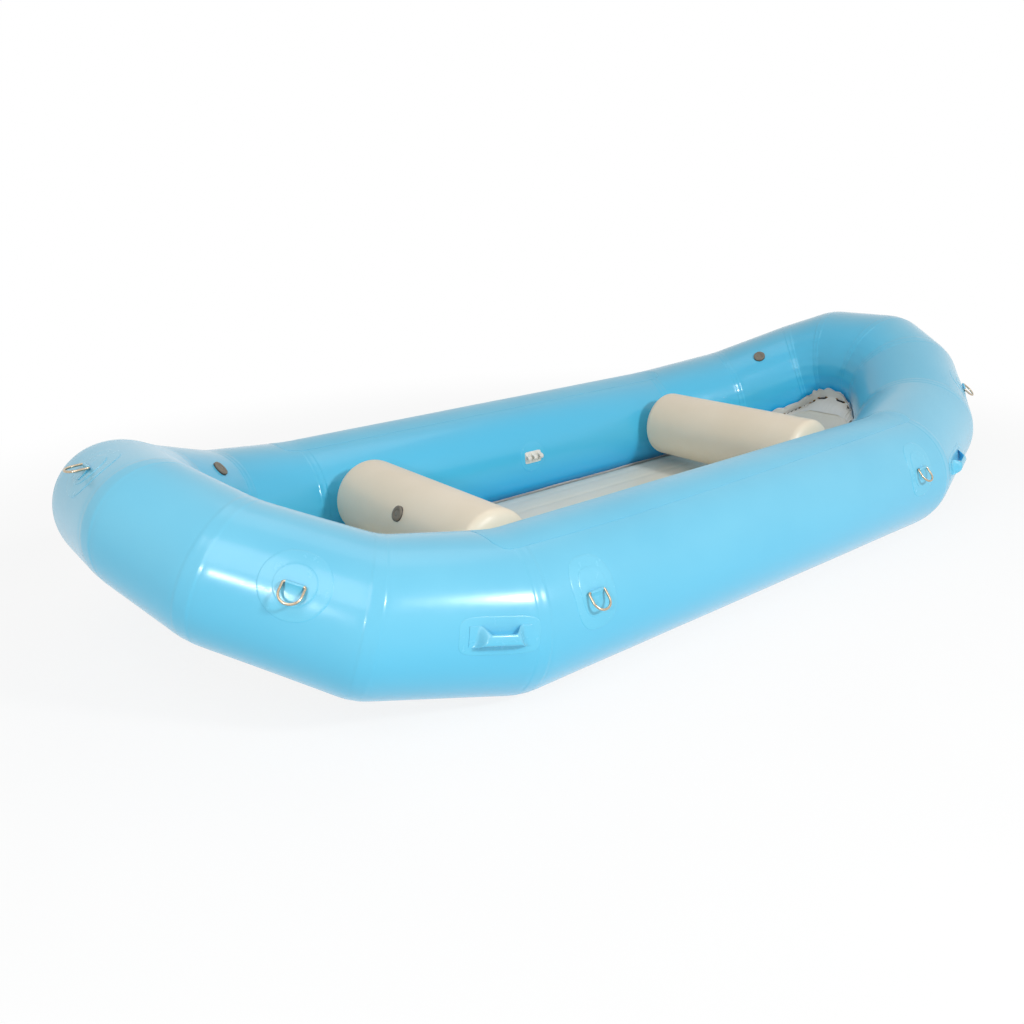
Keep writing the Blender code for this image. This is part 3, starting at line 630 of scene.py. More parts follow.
# Lift handles: a patch, two flared feet and a padded roll between them
handleSize = {"fromBend": 0.117, "angle": 8.0, "patch": (0.125, 0.0575, 5.0), "span": 0.190, "sag": 0.004,
              "rise": 0.027, "grip": (0.030, 0.0125), "foot": (0.062, 0.0022), "skew": 0.12, "lift": 0.0008,
              # Shares of the half span: where the roll narrows and where it rises, each with its run
              "narrows": (0.76, 0.26), "rises": (0.80, 0.30), "steps": 56, "sides": 36}


def ease(value):
    value = min(max(value, 0.0), 1.0)
    return value * value * (3 - 2 * value)


def handle(label, node, joints, first, distance):
    frame, radius = placeOnTube(joints, first, distance, handleSize["angle"])
    patch("patch" + label, frame, radius, softOutline(*handleSize["patch"]), [node])
    steps, span = handleSize["steps"], handleSize["span"]
    bm = bmesh.new()
    unitTube(bm, steps, handleSize["sides"])
    for vert in bm.verts:
        share = vert.co.x / steps * 2 - 1
        away = abs(share) - handleSize["skew"] * vert.co.y
        roll, rise = (ease((start - away) / run) for start, run in (handleSize["narrows"], handleSize["rises"]))
        width, thick = (f + (g - f) * roll for f, g in zip(handleSize["foot"], handleSize["grip"]))
        # Nearly square in section at the feet, and nearly round in the middle
        power = 0.42 + 0.5 * roll
        across = math.copysign(abs(vert.co.y) ** power, vert.co.y) * width / 2
        up = math.copysign(abs(vert.co.z) ** power, vert.co.z) * thick / 2
        height = patchStyle["layer"] + handleSize["lift"] + handleSize["rise"] * rise + up
        vert.co = onSkin(frame, radius, share * span / 2, across + handleSize["sag"] * rise, height)
    made = finishMesh("grip" + label, bm, "patch", "hull", sharp=55)
    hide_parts(node)


for side, joints in sides.items():
    fromBend = handleSize["fromBend"]
    handle("HandleBow" + side, f"bow_{side.lower()}_handle", joints, bowB, runLength(joints, bowB) - fromBend)
    handle("HandleStern" + side, f"stern_{side.lower()}_handle", joints, sternA, fromBend)
print("handles made")


# Valves: clamped body, push-in plunger and lift-off cap, each in a pocket cut in its skin
valveSize = {"flange": 0.031, "flangeLow": -0.0024, "barrel": 0.021, "barrelEnd": -0.026, "bore": 0.0173,
             "rim": 0.0033, "bar": (0.0352, 0.013, 0.003), "barHeight": -0.0155, "barEdge": 0.0006,
             "pocket": 0.0216, "pocketDepth": 0.040,
             # Finger ribs of the cap: how many, where they start and are full, how deep in and down
             "ribs": 28, "ribFrom": 0.014, "ribRun": 0.012, "ribIn": 0.0009, "ribDown": 0.0008}


def pocket(target, frame, radius, depth):
    bm = bmesh.new()
    bmesh.ops.create_cone(bm, cap_ends=True, segments=64, radius1=radius, radius2=radius, depth=depth * 2,
                          matrix=frame)
    cutter = bpy.data.objects.new("pocketCutter", toMesh("pocketCutter", bm))
    bpy.context.scene.collection.objects.link(cutter)
    step = target.modifiers.new("pocket", "BOOLEAN")
    step.object, step.solver, step.operation = cutter, "EXACT", "DIFFERENCE"
    bpy.context.view_layer.update()
    cut = bpy.data.meshes.new_from_object(target.evaluated_get(bpy.context.evaluated_depsgraph_get()))
    target.modifiers.clear()
    old, target.data = target.data, cut
    bpy.data.meshes.remove(old)
    bpy.data.objects.remove(cutter)
    target.data.set_sharp_from_angle(angle=math.radians(60))


def valve(label, node, frame, skinPiece):
    pocket(skinPiece, frame, valveSize["pocket"], valveSize["pocketDepth"])
    flange, lower, barrel, end, bore, rim = (
        valveSize[k] for k in ("flange", "flangeLow", "barrel", "barrelEnd", "bore", "rim"))
    bodyProfile = [(bore, end), (bore, rim - 0.0006), (bore + 0.0006, rim), (flange - 0.002, rim),
                   (flange - 0.0005, rim - 0.0005), (flange, rim - 0.0014), (flange, lower), (barrel, lower),
                   (barrel, end), (bore, end)]
    made = spun("body" + label, bodyProfile, frame, "valve", "hull")
    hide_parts(node + "_body")
    # The bar across the bore that guides the plunger's stem
    bm = bmesh.new()
    bmesh.ops.create_cube(bm, size=1, matrix=frame @ Matrix.Translation((0, 0, valveSize["barHeight"]))
                          @ Matrix.Diagonal((*valveSize["bar"], 1)))
    bmesh.ops.bevel(bm, geom=bm.edges[:], offset=valveSize["barEdge"], segments=2, affect="EDGES", profile=0.5,
                    material=-1)
    bar = finishMesh("bar" + label, bm, "valve", "hull")
    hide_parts(node + "_body")
    plungerProfile = [(0, -0.0046), (0.008, -0.0046), (0.0095, -0.0050), (0.010, -0.0058), (0.010, -0.0072),
                      (0.0096, -0.0076), (0.004, -0.0076), (0.004, -0.0263), (0.0185, -0.0263),
                      (0.019, -0.0268), (0.019, -0.0290), (0.0185, -0.0293), (0, -0.0293)]
    plunger = spun("plunger" + label, plungerProfile, frame, "cap", node + "_plunger", 48)
    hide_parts(node + "_plunger")
    lid, skirt = rim + 0.0003, bore - 0.0004
    capProfile = [(0, lid + 0.0044), (0.006, lid + 0.0044), (0.0085, lid + 0.0040), (0.0105, lid + 0.0026),
                  (0.0130, lid + 0.0026), (0.0150, lid + 0.0052), (0.0165, lid + 0.0058),
                  (0.0225, lid + 0.0058), (0.0262, lid + 0.0054), (0.0290, lid + 0.0044),
                  (flange - 0.0006, lid + 0.0028), (flange, lid + 0.0014), (flange, lid + 0.0003),
                  (flange - 0.0006, lid), (skirt, lid), (skirt, -0.0034), (skirt - 0.0006, -0.004), (0, -0.004)]
    bm = bmesh.new()
    disk(bm, capProfile, valveSize["ribs"] * 8)
    for vert in bm.verts:
        away, turn = math.hypot(vert.co.x, vert.co.y), math.atan2(vert.co.y, vert.co.x)
        if vert.co.z > lid - 0.0001 and away > valveSize["ribFrom"]:
            hollow = (1 - math.cos(turn * valveSize["ribs"])) / 2
            inward = valveSize["ribIn"] * hollow * min(1, (away - valveSize["ribFrom"]) / valveSize["ribRun"])
            vert.co.x -= math.cos(turn) * inward
            vert.co.y -= math.sin(turn) * inward
            if vert.co.z > lid + 0.002:
                vert.co.z -= valveSize["ribDown"] * hollow
    bmesh.ops.transform(bm, matrix=frame, verts=bm.verts)
    cap = finishMesh("cap" + label, bm, "cap", node + "_cap", sharp=45)
    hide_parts(node + "_cap")


# Half way along a run of the tube, at an angle up from outboard; only the stern's port valve is low
for end, side, first, angle in [("Bow", "Port", bowC, 138.0), ("Bow", "Starboard", bowC, 138.0),
                                ("Stern", "Port", sternA, 160.0), ("Stern", "Starboard", sternB, 132.0)]:
    spot = placeOnTube(sides[side], first, runLength(sides[side], first) / 2, angle)[0]
    valve("Valve" + end + side, f"{end.lower()}_{side.lower()}_valve", spot, quarters[end + side])
print("tube valves made")


# Thwart pads: a blue patch, a white moulded base and three knuckles with a bore for the batten
knuckleSize = {"patch": 0.075, "pitch": 0.037, "width": 0.021, "height": 0.015, "lobe": 0.0125,
               "foot": 0.027, "sunk": -0.003, "bore": 0.0070, "edge": 0.0022,
               "plate": (0.0485, 0.029, 0.0026), "plateCorner": 0.012, "plateEdge": 0.0012,
               # How far round the tube from outboard, over the top; the centre pads stand empty
               "angle": 171.5, "centreAngle": 175.0, "centreX": -0.058}
thwartPlaces = {"Front": 0.885, "Rear": -0.951}


def blockShape(bm, outline, bore, half, edge):
    # An outline in Y and Z with a round bore, given its width along X and rounded edges
    outer = [bm.verts.new((-half, y, z)) for y, z in outline]
    edges = [bm.edges.new(pair) for pair in zip(outer, outer[1:] + outer[:1])]
    rim = bmesh.ops.create_circle(bm, segments=28, radius=bore["radius"], matrix=Matrix.Translation(
        (-half, bore["y"], bore["z"])) @ Matrix.Rotation(math.pi / 2, 4, "Y"))["verts"]
    edges += linked(rim, "link_edges")
    made = bmesh.ops.triangle_fill(bm, edges=edges, use_beauty=True)["geom"]
    faces = [g for g in made if isinstance(g, bmesh.types.BMFace)]
    grown = bmesh.ops.extrude_face_region(bm, geom=faces)["geom"]
    verts = [g for g in grown if isinstance(g, bmesh.types.BMVert)]
    bmesh.ops.translate(bm, vec=(2 * half, 0, 0), verts=verts)
    every = outer + rim + verts
    bmesh.ops.recalc_face_normals(bm, faces=linked(every, "link_faces"))
    rims = [e for e in linked(every, "link_edges")
            if abs(e.verts[0].co.x - e.verts[1].co.x) < 1e-6 and e.calc_face_angle(0) > 1.2]
    bmesh.ops.bevel(bm, geom=rims, offset=edge, segments=3, affect="EDGES", profile=0.5, material=-1,
                    clamp_overlap=True)


def copies(mesh, places):
    # A shape made once at the origin and copied to its places
    bm = bmesh.new()
    for place in places:
        known = len(bm.verts)
        bm.from_mesh(mesh)
        bm.verts.ensure_lookup_table()
        bmesh.ops.transform(bm, matrix=place, verts=bm.verts[known:])
    bpy.data.meshes.remove(mesh)
    return bm


def blockPiece(name, outline, bore, half, places, finish, node):
    bm = bmesh.new()
    blockShape(bm, outline, bore, half, knuckleSize["edge"])
    bm = copies(toMesh("block", bm), places)
    made = finishMesh(name, bm, finish, "hull", merge=False, sharp=42)
    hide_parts(node)
    return made


def lobeOutline(halfFoot, low, height, lobe, lift):
    # A foot that curves up into a round lobe about the bore
    left = [(-halfFoot, low), (-halfFoot, lift), (-halfFoot * 0.93, lift + 0.0016),
            (-halfFoot * 0.72, lift + 0.0028), (-lobe * 1.28, height - lobe * 0.55),
            (-lobe * 1.06, height - lobe * 0.12)]
    turns = [math.radians(a) for a in range(168, 11, -12)]
    top = [(lobe * math.cos(t), height + lobe * math.sin(t)) for t in turns]
    return left + top + [(-y, z) for y, z in reversed(left)]


def knucklePad(label, node, joints, x, angle):
    first = bowA if x > 0 else waist
    frame, radius = placeOnTube(joints, first, joints[first]["at"].x - x, angle)
    patch("patch" + label, frame, radius, roundOutline(knuckleSize["patch"]), [node])
    length, width, thick = knuckleSize["plate"]
    bm = bmesh.new()
    bmesh.ops.create_cube(bm, size=1, matrix=Matrix.Diagonal((length * 2, width * 2, thick * 2, 1)))
    upright = [e for e in bm.edges if abs(e.verts[0].co.z - e.verts[1].co.z) > 0.001]
    bmesh.ops.bevel(bm, geom=upright, offset=knuckleSize["plateCorner"], segments=8, affect="EDGES",
                    profile=0.5, material=-1)
    upper = [e for e in bm.edges if all(v.co.z > 0.001 for v in e.verts)]
    bmesh.ops.bevel(bm, geom=upper, offset=knuckleSize["plateEdge"], segments=3, affect="EDGES",
                    profile=0.5, material=-1)
    # Cut across, so that the plate can follow the tube
    wide = [e for e in bm.edges if abs(e.verts[0].co.y - e.verts[1].co.y) > 0.03]
    bmesh.ops.subdivide_edges(bm, edges=wide, cuts=9, use_grid_fill=True)
    for vert in bm.verts:
        vert.co = onSkin(frame, radius, vert.co.x, vert.co.y, vert.co.z)
    plate = finishMesh("plate" + label, bm, "knuckle", "hull", sharp=50)
    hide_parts(node)
    outline = lobeOutline(knuckleSize["foot"], knuckleSize["sunk"], knuckleSize["height"], knuckleSize["lobe"],
                          thick)
    bore = {"radius": knuckleSize["bore"], "y": 0.0, "z": knuckleSize["height"]}
    places = [frame @ Matrix.Translation((i * knuckleSize["pitch"], 0, 0)) for i in (-1, 0, 1)]
    blockPiece("knuckles" + label, outline, bore, knuckleSize["width"] / 2, places, "knuckle",
               node)
    return frame


padFrames = {}
for side, joints in sides.items():
    knucklePad("PadCentre" + side, f"centre_{side.lower()}_pad", joints, knuckleSize["centreX"],
               knuckleSize["centreAngle"])
    for where, x in thwartPlaces.items():
        node = f"{where.lower()}_{side.lower()}_pad"
        padFrames[where + side] = knucklePad("Pad" + where + side, node, joints, x, knuckleSize["angle"])
print("pads made")


# Thwarts: inflated cylinders with domed ends, hung on battens through lugs and knuckles
thwartSize = {"radius": 0.162, "height": 0.308, "dome": 0.053, "gap": 0.016, "shoulder": 0.74, "sides": 144,
              # The end cap's seam, measured in from the dome's foot
              "seamFrom": 0.030, "seamTo": 0.065, "seamEdge": 0.0008, "seamRise": 0.00015,
              "lugHalf": 0.0080, "lugLobe": 0.011, "lugBase": 0.022, "lugSunk": 0.006,
              "valveAngle": 28.0, "valveY": 0.030, "batten": 0.0065, "battenHalf": 0.065, "battenHead": 0.009}


def thwart(where, x, facing):
    pin = padFrames[where + "Port"] @ Vector((0, 0, knuckleSize["height"]))
    tip = pin.y - thwartSize["gap"]
    radius, dome = thwartSize["radius"], thwartSize["dome"]
    start, power = tip - dome, thwartSize["shoulder"]
    # Half a profile: dome, then the end cap's seam a little way along, then straight
    turns = [math.radians(90 - 90 * i / 26) for i in range(27)]
    half = [(radius * math.cos(t) ** power, start + dome * math.sin(t) ** power) for t in turns]
    half[0] = (0, half[0][1])
    edge, raised = thwartSize["seamEdge"], radius + thwartSize["seamRise"]
    seamStart, seamEnd = start - thwartSize["seamFrom"], start - thwartSize["seamTo"]
    plain = seamEnd - 0.010
    half += [(radius, start - 0.004), (radius + 0.0001, seamStart), (raised, seamStart - edge),
             (raised, seamEnd), (radius + 0.0001, seamEnd - edge), (radius, plain)]
    profile = half + [(radius, plain - plain * 2 * i / 16) for i in range(1, 16)]
    profile += [(r, -z) for r, z in reversed(half)]
    centre = Matrix.Translation((x, 0, thwartSize["height"]))
    name = where.lower() + "_thwart"
    skinPiece = spun("thwart" + where, profile, centre @ Matrix.Rotation(-math.pi / 2, 4, "X"), "thwart",
                     "hull", sides=thwartSize["sides"], sharp=50)
    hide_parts(name)
    tilt = Matrix.Rotation(math.radians(90 - thwartSize["valveAngle"]) * facing, 4, "Y")
    aside = Matrix.Translation((0, thwartSize["valveY"], 0))
    spot = centre @ aside @ tilt @ Matrix.Translation((0, 0, radius))
    valve("ValveThwart" + where, name + "_valve", spot, skinPiece)
    for side, sign in (("Port", 1), ("Starboard", -1)):
        spot = Matrix.Translation((x, pin.y * sign, pin.z))
        at = spot @ Matrix.Rotation(-math.pi / 2 * sign, 4, "X")
        places = [at @ Matrix.Translation((i * knuckleSize["pitch"] / 2, 0, 0)) for i in (-1, 1)]
        reach = thwartSize["gap"] + thwartSize["lugSunk"]
        lobe, base = thwartSize["lugLobe"], thwartSize["lugBase"]
        left = [(-base, -reach), (-base * 0.8, -reach * 0.62), (-lobe * 1.12, -reach * 0.2)]
        turns = [math.radians(a) for a in range(175, 4, -10)]
        outline = left + [(lobe * math.cos(t), lobe * math.sin(t)) for t in turns]
        outline += [(-y, z) for y, z in reversed(left)]
        bore = {"radius": knuckleSize["bore"], "y": 0.0, "z": 0.0}
        blockPiece(f"lugs{where}{side}", outline, bore, thwartSize["lugHalf"], places, "thwart",
                   name)
        rod, end, head = thwartSize["batten"], thwartSize["battenHalf"], thwartSize["battenHead"]
        rodProfile = [(0, end), (head - 0.0012, end), (head, end - 0.0010), (head, end - 0.0034),
                      (head - 0.0006, end - 0.004), (rod, end - 0.004), (rod, 0.02), (rod, -0.02),
                      (rod, -end + 0.0025), (rod - 0.0018, -end), (0, -end)]
        node = f"{where.lower()}_{side.lower()}_batten"
        lying = spot @ Matrix.Rotation(math.pi / 2, 4, "Y")
        batten = spun(f"batten{where}{side}", rodProfile, lying, "batten", node, 40)
        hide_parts(node)


thwart("Front", thwartPlaces["Front"], 1)
thwart("Rear", thwartPlaces["Rear"], -1)
print("thwarts made")


# Floor and lacing: places round the hull where the floor's edge and the flaps pass each joint
lacingSize = {"sideTurns": (-123.75, -131.0625, -137.25), "endTurns": (-130.5, -142.3125, -151.875),
              "weldTurn": -118.125, "floorThick": 0.085, "sideInset": 0.82, "endInset": 0.98,
              "bowRise": (0.0, 0.093, 0.250, 0.320), "sternRise": (0.0, 0.067, 0.205, 0.240),
              "shoulder": 55, "endSink": 0.014, "weldOff": 0.0003, "liftOff": 0.004,
              # Grommets on each run of the hull, from the sides to the ends, and how the cord goes through
              "sideGrommets": 4, "endGrommets": (3, 4, 3, 1), "hole": 0.0075, "eyelet": 0.0092,
              "eyeletBore": 0.0036, "cord": 0.0025, "seenCord": 0.0050, "backCord": 0.0045, "play": 0.0004,
              "dip": 0.005, "held": 0.014,
              # The flaps: fabric, and how far apart their rows of points stand
              "flap": 0.0015, "flapGap": 0.0010, "endStep": 0.004, "sideStep": 0.018,
              "sideEase": 0.35, "pleatPitch": 0.023, "archShare": 1.9, "ripple": 0.0022}
# Each flap: where it starts and bends, how far it stands off the tube, how its rim arches between
# the holes behind a back stitch and behind a front one, and how deep its gathers are
flapShapes = {
    "flapTube": {"foot": "weld", "low": "low", "lowShare": 1.0, "rise": 0.006, "backArch": 0.012,
                 "frontArch": 0.004, "curl": 0.002, "pleat": 0.0, "node": "tube_lacing_flap"},
    "flapFloor": {"foot": "shoulder", "low": "lift", "lowShare": 0.4, "rise": 0.0, "backArch": 0.017,
                  "frontArch": 0.003, "curl": 0.006, "pleat": 0.0070, "node": "floor"}}


def jointPoint(joint, angle, offset=0.0):
    turn = math.radians(angle)
    spot = joint["ring"] @ Vector((math.cos(turn), math.sin(turn), 0))
    return spot + (spot - joint["at"]).normalized() * offset


def lacingStations():
    rises = list(reversed(lacingSize["bowRise"]))
    rises = [rises[0]] + rises + [0.0] + list(lacingSize["sternRise"]) + [lacingSize["sternRise"][-1]]
    halves = []
    for joints in sides.values():
        half = []
        for joint, rise in zip(joints, rises):
            sideRun = rise == 0
            stretch = joint["ring"].col[0].to_3d().length / joint["radius"]
            inset = lacingSize["sideInset"] if sideRun else lacingSize["endInset"]
            bendPart = joint["out"] * -joint["radius"] * inset * stretch
            edge = joint["at"] + Vector((bendPart.x, bendPart.y, 0))
            edge.z = lacingSize["floorThick"] / 2 + rise
            turns = lacingSize["sideTurns"] if sideRun else lacingSize["endTurns"]
            low, middle, rim = (jointPoint(joint, t) for t in turns)
            shoulder, lift = edge, low
            if not sideRun:
                t, turn = lacingSize["floorThick"] / 2, math.radians(lacingSize["shoulder"])
                atEnd = abs(joint["at"].y) < 0.2
                inward = Vector((-math.copysign(1, edge.x), 0, 0) if atEnd
                                else (0, -math.copysign(1, edge.y), 0))
                shoulder = edge + inward * (t - t * math.cos(turn)) + Vector((0, 0, t * math.sin(turn)))
                # The mattress falls away steeply here, so the foot is set down into it
                shoulder.z -= lacingSize["endSink"] if atEnd else 0
                lift = shoulder.lerp(middle, 0.5)
                lift += (joint["at"] - middle).normalized() * lacingSize["liftOff"]
            weld = jointPoint(joint, lacingSize["weldTurn"], lacingSize["weldOff"])
            half.append({"joint": joint, "edge": edge, "low": low, "middle": middle, "rim": rim, "weld": weld,
                         "end": not sideRun, "shoulder": shoulder, "lift": lift})
        halves.append(half)
    return halves[0] + halves[1][-2:0:-1]


stations = lacingStations()


def buildRuns():
    quarter = (*reversed(lacingSize["endGrommets"]), lacingSize["sideGrommets"])
    counts = quarter + quarter[::-1]
    counts += counts[::-1]
    runs = []
    for before, after, count in zip(stations, stations[1:] + stations[:1], counts):
        along = (after["middle"] - before["middle"]).normalized()
        off = along.cross(before["rim"] - before["low"] + after["rim"] - after["low"]).normalized()
        if off.dot(before["middle"] - before["joint"]["at"]) < 0:
            off = -off
        runs.append({"before": before, "after": after, "count": count, "along": along, "off": off})
    for here, ahead in zip(runs, runs[1:] + runs[:1]):
        joined = (here["off"] + ahead["off"]).normalized()
        here["endOff"], ahead["startOff"] = joined, joined
    return runs


runs = buildRuns()


def flapPoint(run, share, shape, across, level):
    # across: 0 at the foot, 1 at the low edge, 2 at the grommets, 3 at the rim
    before, after = run["before"], run["after"]
    off = run["startOff"].lerp(run["endOff"], share).normalized()
    knots = [before[k].lerp(after[k], share) + off * level * stands for k, stands in
             ((shape["foot"], 0), (shape["low"], shape["lowShare"]), ("middle", 1), ("rim", 1))]
    # A smooth curve through all four knots
    knots = [knots[0] * 2 - knots[1]] + knots + [knots[3] * 2 - knots[2]]
    i = min(int(across), 2)
    t = across - i
    a, b, c, d = knots[i:i + 4]
    spot = 0.5 * (2 * b + (c - a) * t + (2 * a - 5 * b + 4 * c - d) * t * t
                  + (3 * b - a - 3 * c + d) * t ** 3)
    return spot, off


def lacingRows(hole):
    # Rows of points at every grommet's edges and between, and which of them start a hole
    rows, holed = [], set()
    travelled, passed = 0.0, 0
    for run in runs:
        length = (run["after"]["middle"] - run["before"]["middle"]).length
        nearEnd = run["before"]["end"] or run["after"]["end"]
        step = lacingSize["endStep" if nearEnd else "sideStep"]
        marks, last = [], 0.0
        for j in range(run["count"]):
            centre = (j + 0.5) / run["count"]
            for mark, opens in ((centre - hole / length, False), (centre + hole / length, True)):
                gaps = 1 if opens else max(1, round((mark - last) * length / step))
                marks += [(last + (mark - last) * k / gaps, opens) for k in range(gaps)]
                last = mark
        gaps = max(1, round((1 - last) * length / step))
        marks += [(last + (1 - last) * k / gaps, False) for k in range(gaps)]
        for share, inHole in marks:
            if inHole:
                holed.add(len(rows))
            rows.append((run, share, travelled + share * length, passed + share * run["count"] - 0.5))
        travelled += length
        passed += run["count"]
    return rows, holed


def flapBand(name, level, finish):
    shape = flapShapes[name]
    hole = lacingSize["hole"] / 2
    rows, holed = lacingRows(hole)
    reach = [(run["before"]["rim"] - run["before"]["low"]).length for run in runs]
    holeShare = hole / (sum(reach) / len(reach) / 2)
    # Columns from the foot to the rim, one of them as wide as the holes
    columns = [0, 0.12, 0.25, 0.4, 0.55, 0.7, 0.85, 1.0, 1.25, 1.5, 1.75]
    holeColumn = len(columns)
    columns += [2 - holeShare, 2 + holeShare, 2.3, 2.55, 2.8, 2.93, 3.0]
    bm = bmesh.new()
    count = len(rows)
    bmesh.ops.create_grid(bm, x_segments=count, y_segments=len(columns) - 1, size=1)
    places = {vert: (round((vert.co.x + 1) / 2 * count), round((vert.co.y + 1) / 2 * (len(columns) - 1)))
              for vert in bm.verts}
    holes = [face for face in bm.faces if min(places[v][0] for v in face.verts) in holed
             and min(places[v][1] for v in face.verts) == holeColumn]
    bmesh.ops.delete(bm, geom=holes, context="FACES_ONLY")
    for vert in bm.verts:
        i, j = places[vert]
        run, share, along, number = rows[i % count]
        across = columns[j]
        spot, off = flapPoint(run, share, shape, across, level)
        span, u = math.floor(number), number - math.floor(number)
        arch = shape["frontArch"] if span % 2 == 0 else shape["backArch"]
        height = max(0.0, across - 2.0)
        bothEnds = run["before"]["end"] and run["after"]["end"]
        loose = 1.0 if bothEnds else lacingSize["sideEase"]
        up = (run["after"]["rim"] - run["after"]["middle"]).normalized()
        bulge = math.sin(math.pi * u) ** 0.7
        ripple = lacingSize["ripple"] * math.sin(along * 61 + math.sin(along * 23) * 2)
        spot += up * height * (shape["rise"] + loose * (arch * bulge * lacingSize["archShare"] + ripple))
        spot += off * shape["curl"] * loose * height * height * bulge
        belly = math.sin(math.pi * min(across / 2.0, 1.0)) ** 0.6
        if bothEnds:
            fold = math.cos(2 * math.pi * along / lacingSize["pleatPitch"] + math.sin(along * 9.0))
            spot += off * shape["pleat"] * belly * fold
        vert.co = spot
    bmesh.ops.remove_doubles(bm, verts=bm.verts, dist=0.00002)
    bmesh.ops.recalc_face_normals(bm, faces=bm.faces)
    # The fabric's thickness grows off the tube
    bm.faces.ensure_lookup_table()
    sample = next(f for f in bm.faces if (f.calc_center_median() - runs[0]["before"]["middle"]).length < 0.3)
    if sample.normal.dot(runs[0]["off"]) < 0:
        bmesh.ops.reverse_faces(bm, faces=bm.faces)
    bmesh.ops.solidify(bm, geom=bm.faces, thickness=-lacingSize["flap"])
    made = finishMesh(name, bm, finish, "hull", sharp=50)
    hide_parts(shape["node"])
    return made


tubeLevel = lacingSize["backCord"] + lacingSize["cord"] + lacingSize["play"]
floorLevel = tubeLevel + lacingSize["flap"] + lacingSize["flapGap"]
frontLevel = floorLevel + lacingSize["flap"] + lacingSize["play"] + lacingSize["seenCord"]
for name, level in (("flapTube", tubeLevel), ("flapFloor", floorLevel)):
    flapBand(name, level, "flap")


def grommetFrames():
    frames = []
    for run in runs:
        for j in range(run["count"]):
            share = (j + 0.5) / run["count"]
            spot = flapPoint(run, share, flapShapes["flapFloor"], 2.0, 0.0)[0]
            off = run["startOff"].lerp(run["endOff"], share).normalized()
            along = (run["along"] - off * run["along"].dot(off)).normalized()
            place = Matrix((along, off.cross(along), off)).transposed().to_4x4()
            place.translation = spot
            frames.append(place)
    return frames


grommets = grommetFrames()


def eyelets():
    # Rolled brass rims on both faces of each hole
    inner, outer = lacingSize["eyeletBore"], lacingSize["eyelet"]
    profile = [(inner, 0.0), (inner, 0.0009), (inner + 0.0008, 0.0016), (0.0060, 0.0017),
               (outer - 0.0009, 0.0012), (outer, 0.0003), (outer, -0.0002), (inner, -0.0002), (inner, 0.0)]
    bm = bmesh.new()
    disk(bm, profile, 24)
    over = Matrix.Translation((0, 0, floorLevel + lacingSize["flap"]))
    under = Matrix.Translation((0, 0, tubeLevel)) @ Matrix.Rotation(math.pi, 4, "X")
    bm = copies(toMesh("eyelet", bm), [place @ face for place in grommets for face in (over, under)])
    return finishMesh("lacingEyelets", bm, "brass", "hull", merge=False, sharp=50)


eyelets()


def lacingCord():
    # Front and back stitches in turn, rounded where they dip through the holes
    curve = bpy.data.curves.new("lacingCord", "CURVE")
    curve.dimensions = "3D"
    curve.bevel_depth, curve.bevel_resolution, curve.resolution_u = lacingSize["seenCord"], 3, 5
    points = []
    back, front, dip, held = lacingSize["backCord"], frontLevel, lacingSize["dip"], lacingSize["held"]
    for i, place in enumerate(grommets):
        first, last = (front, back) if i % 2 else (back, front)
        stitch = ((-held, first), (-dip, first), (0.0, (first + last) / 2), (dip, last), (held, last))
        points += [place @ Vector((x, 0, level)) for x, level in stitch]
    spline = curve.splines.new("NURBS")
    spline.points.add(len(points) - 1)
    for point, place in zip(spline.points, points):
        point.co = (*place, 1)
    spline.use_cyclic_u, spline.order_u = True, 3
    made = bpy.data.objects.new("lacingCord", curve)
    bpy.context.scene.collection.objects.link(made)
    curve.materials.append(finishes["cord"])
    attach(made, "hull")
    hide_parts("lacing_cord")


lacingCord()


# Floor: an inflated mattress, its threads drawing faint lengthwise creases
floorSize = {"creasePitch": 0.118, "creaseDepth": 0.0030, "creaseHalf": 0.009, "edge": 0.60, "endThin": 0.40,
             # Rows of points along it, closer together near each end, where the thickness rounds off
             "step": 0.045, "endRows": (0.0015, 0.005, 0.011, 0.019, 0.029),
             "roundSteps": 12, "flatSteps": 72,
             "valve": (0.45, 0.40), "valveRadius": 0.0245, "valveDepth": 0.020}


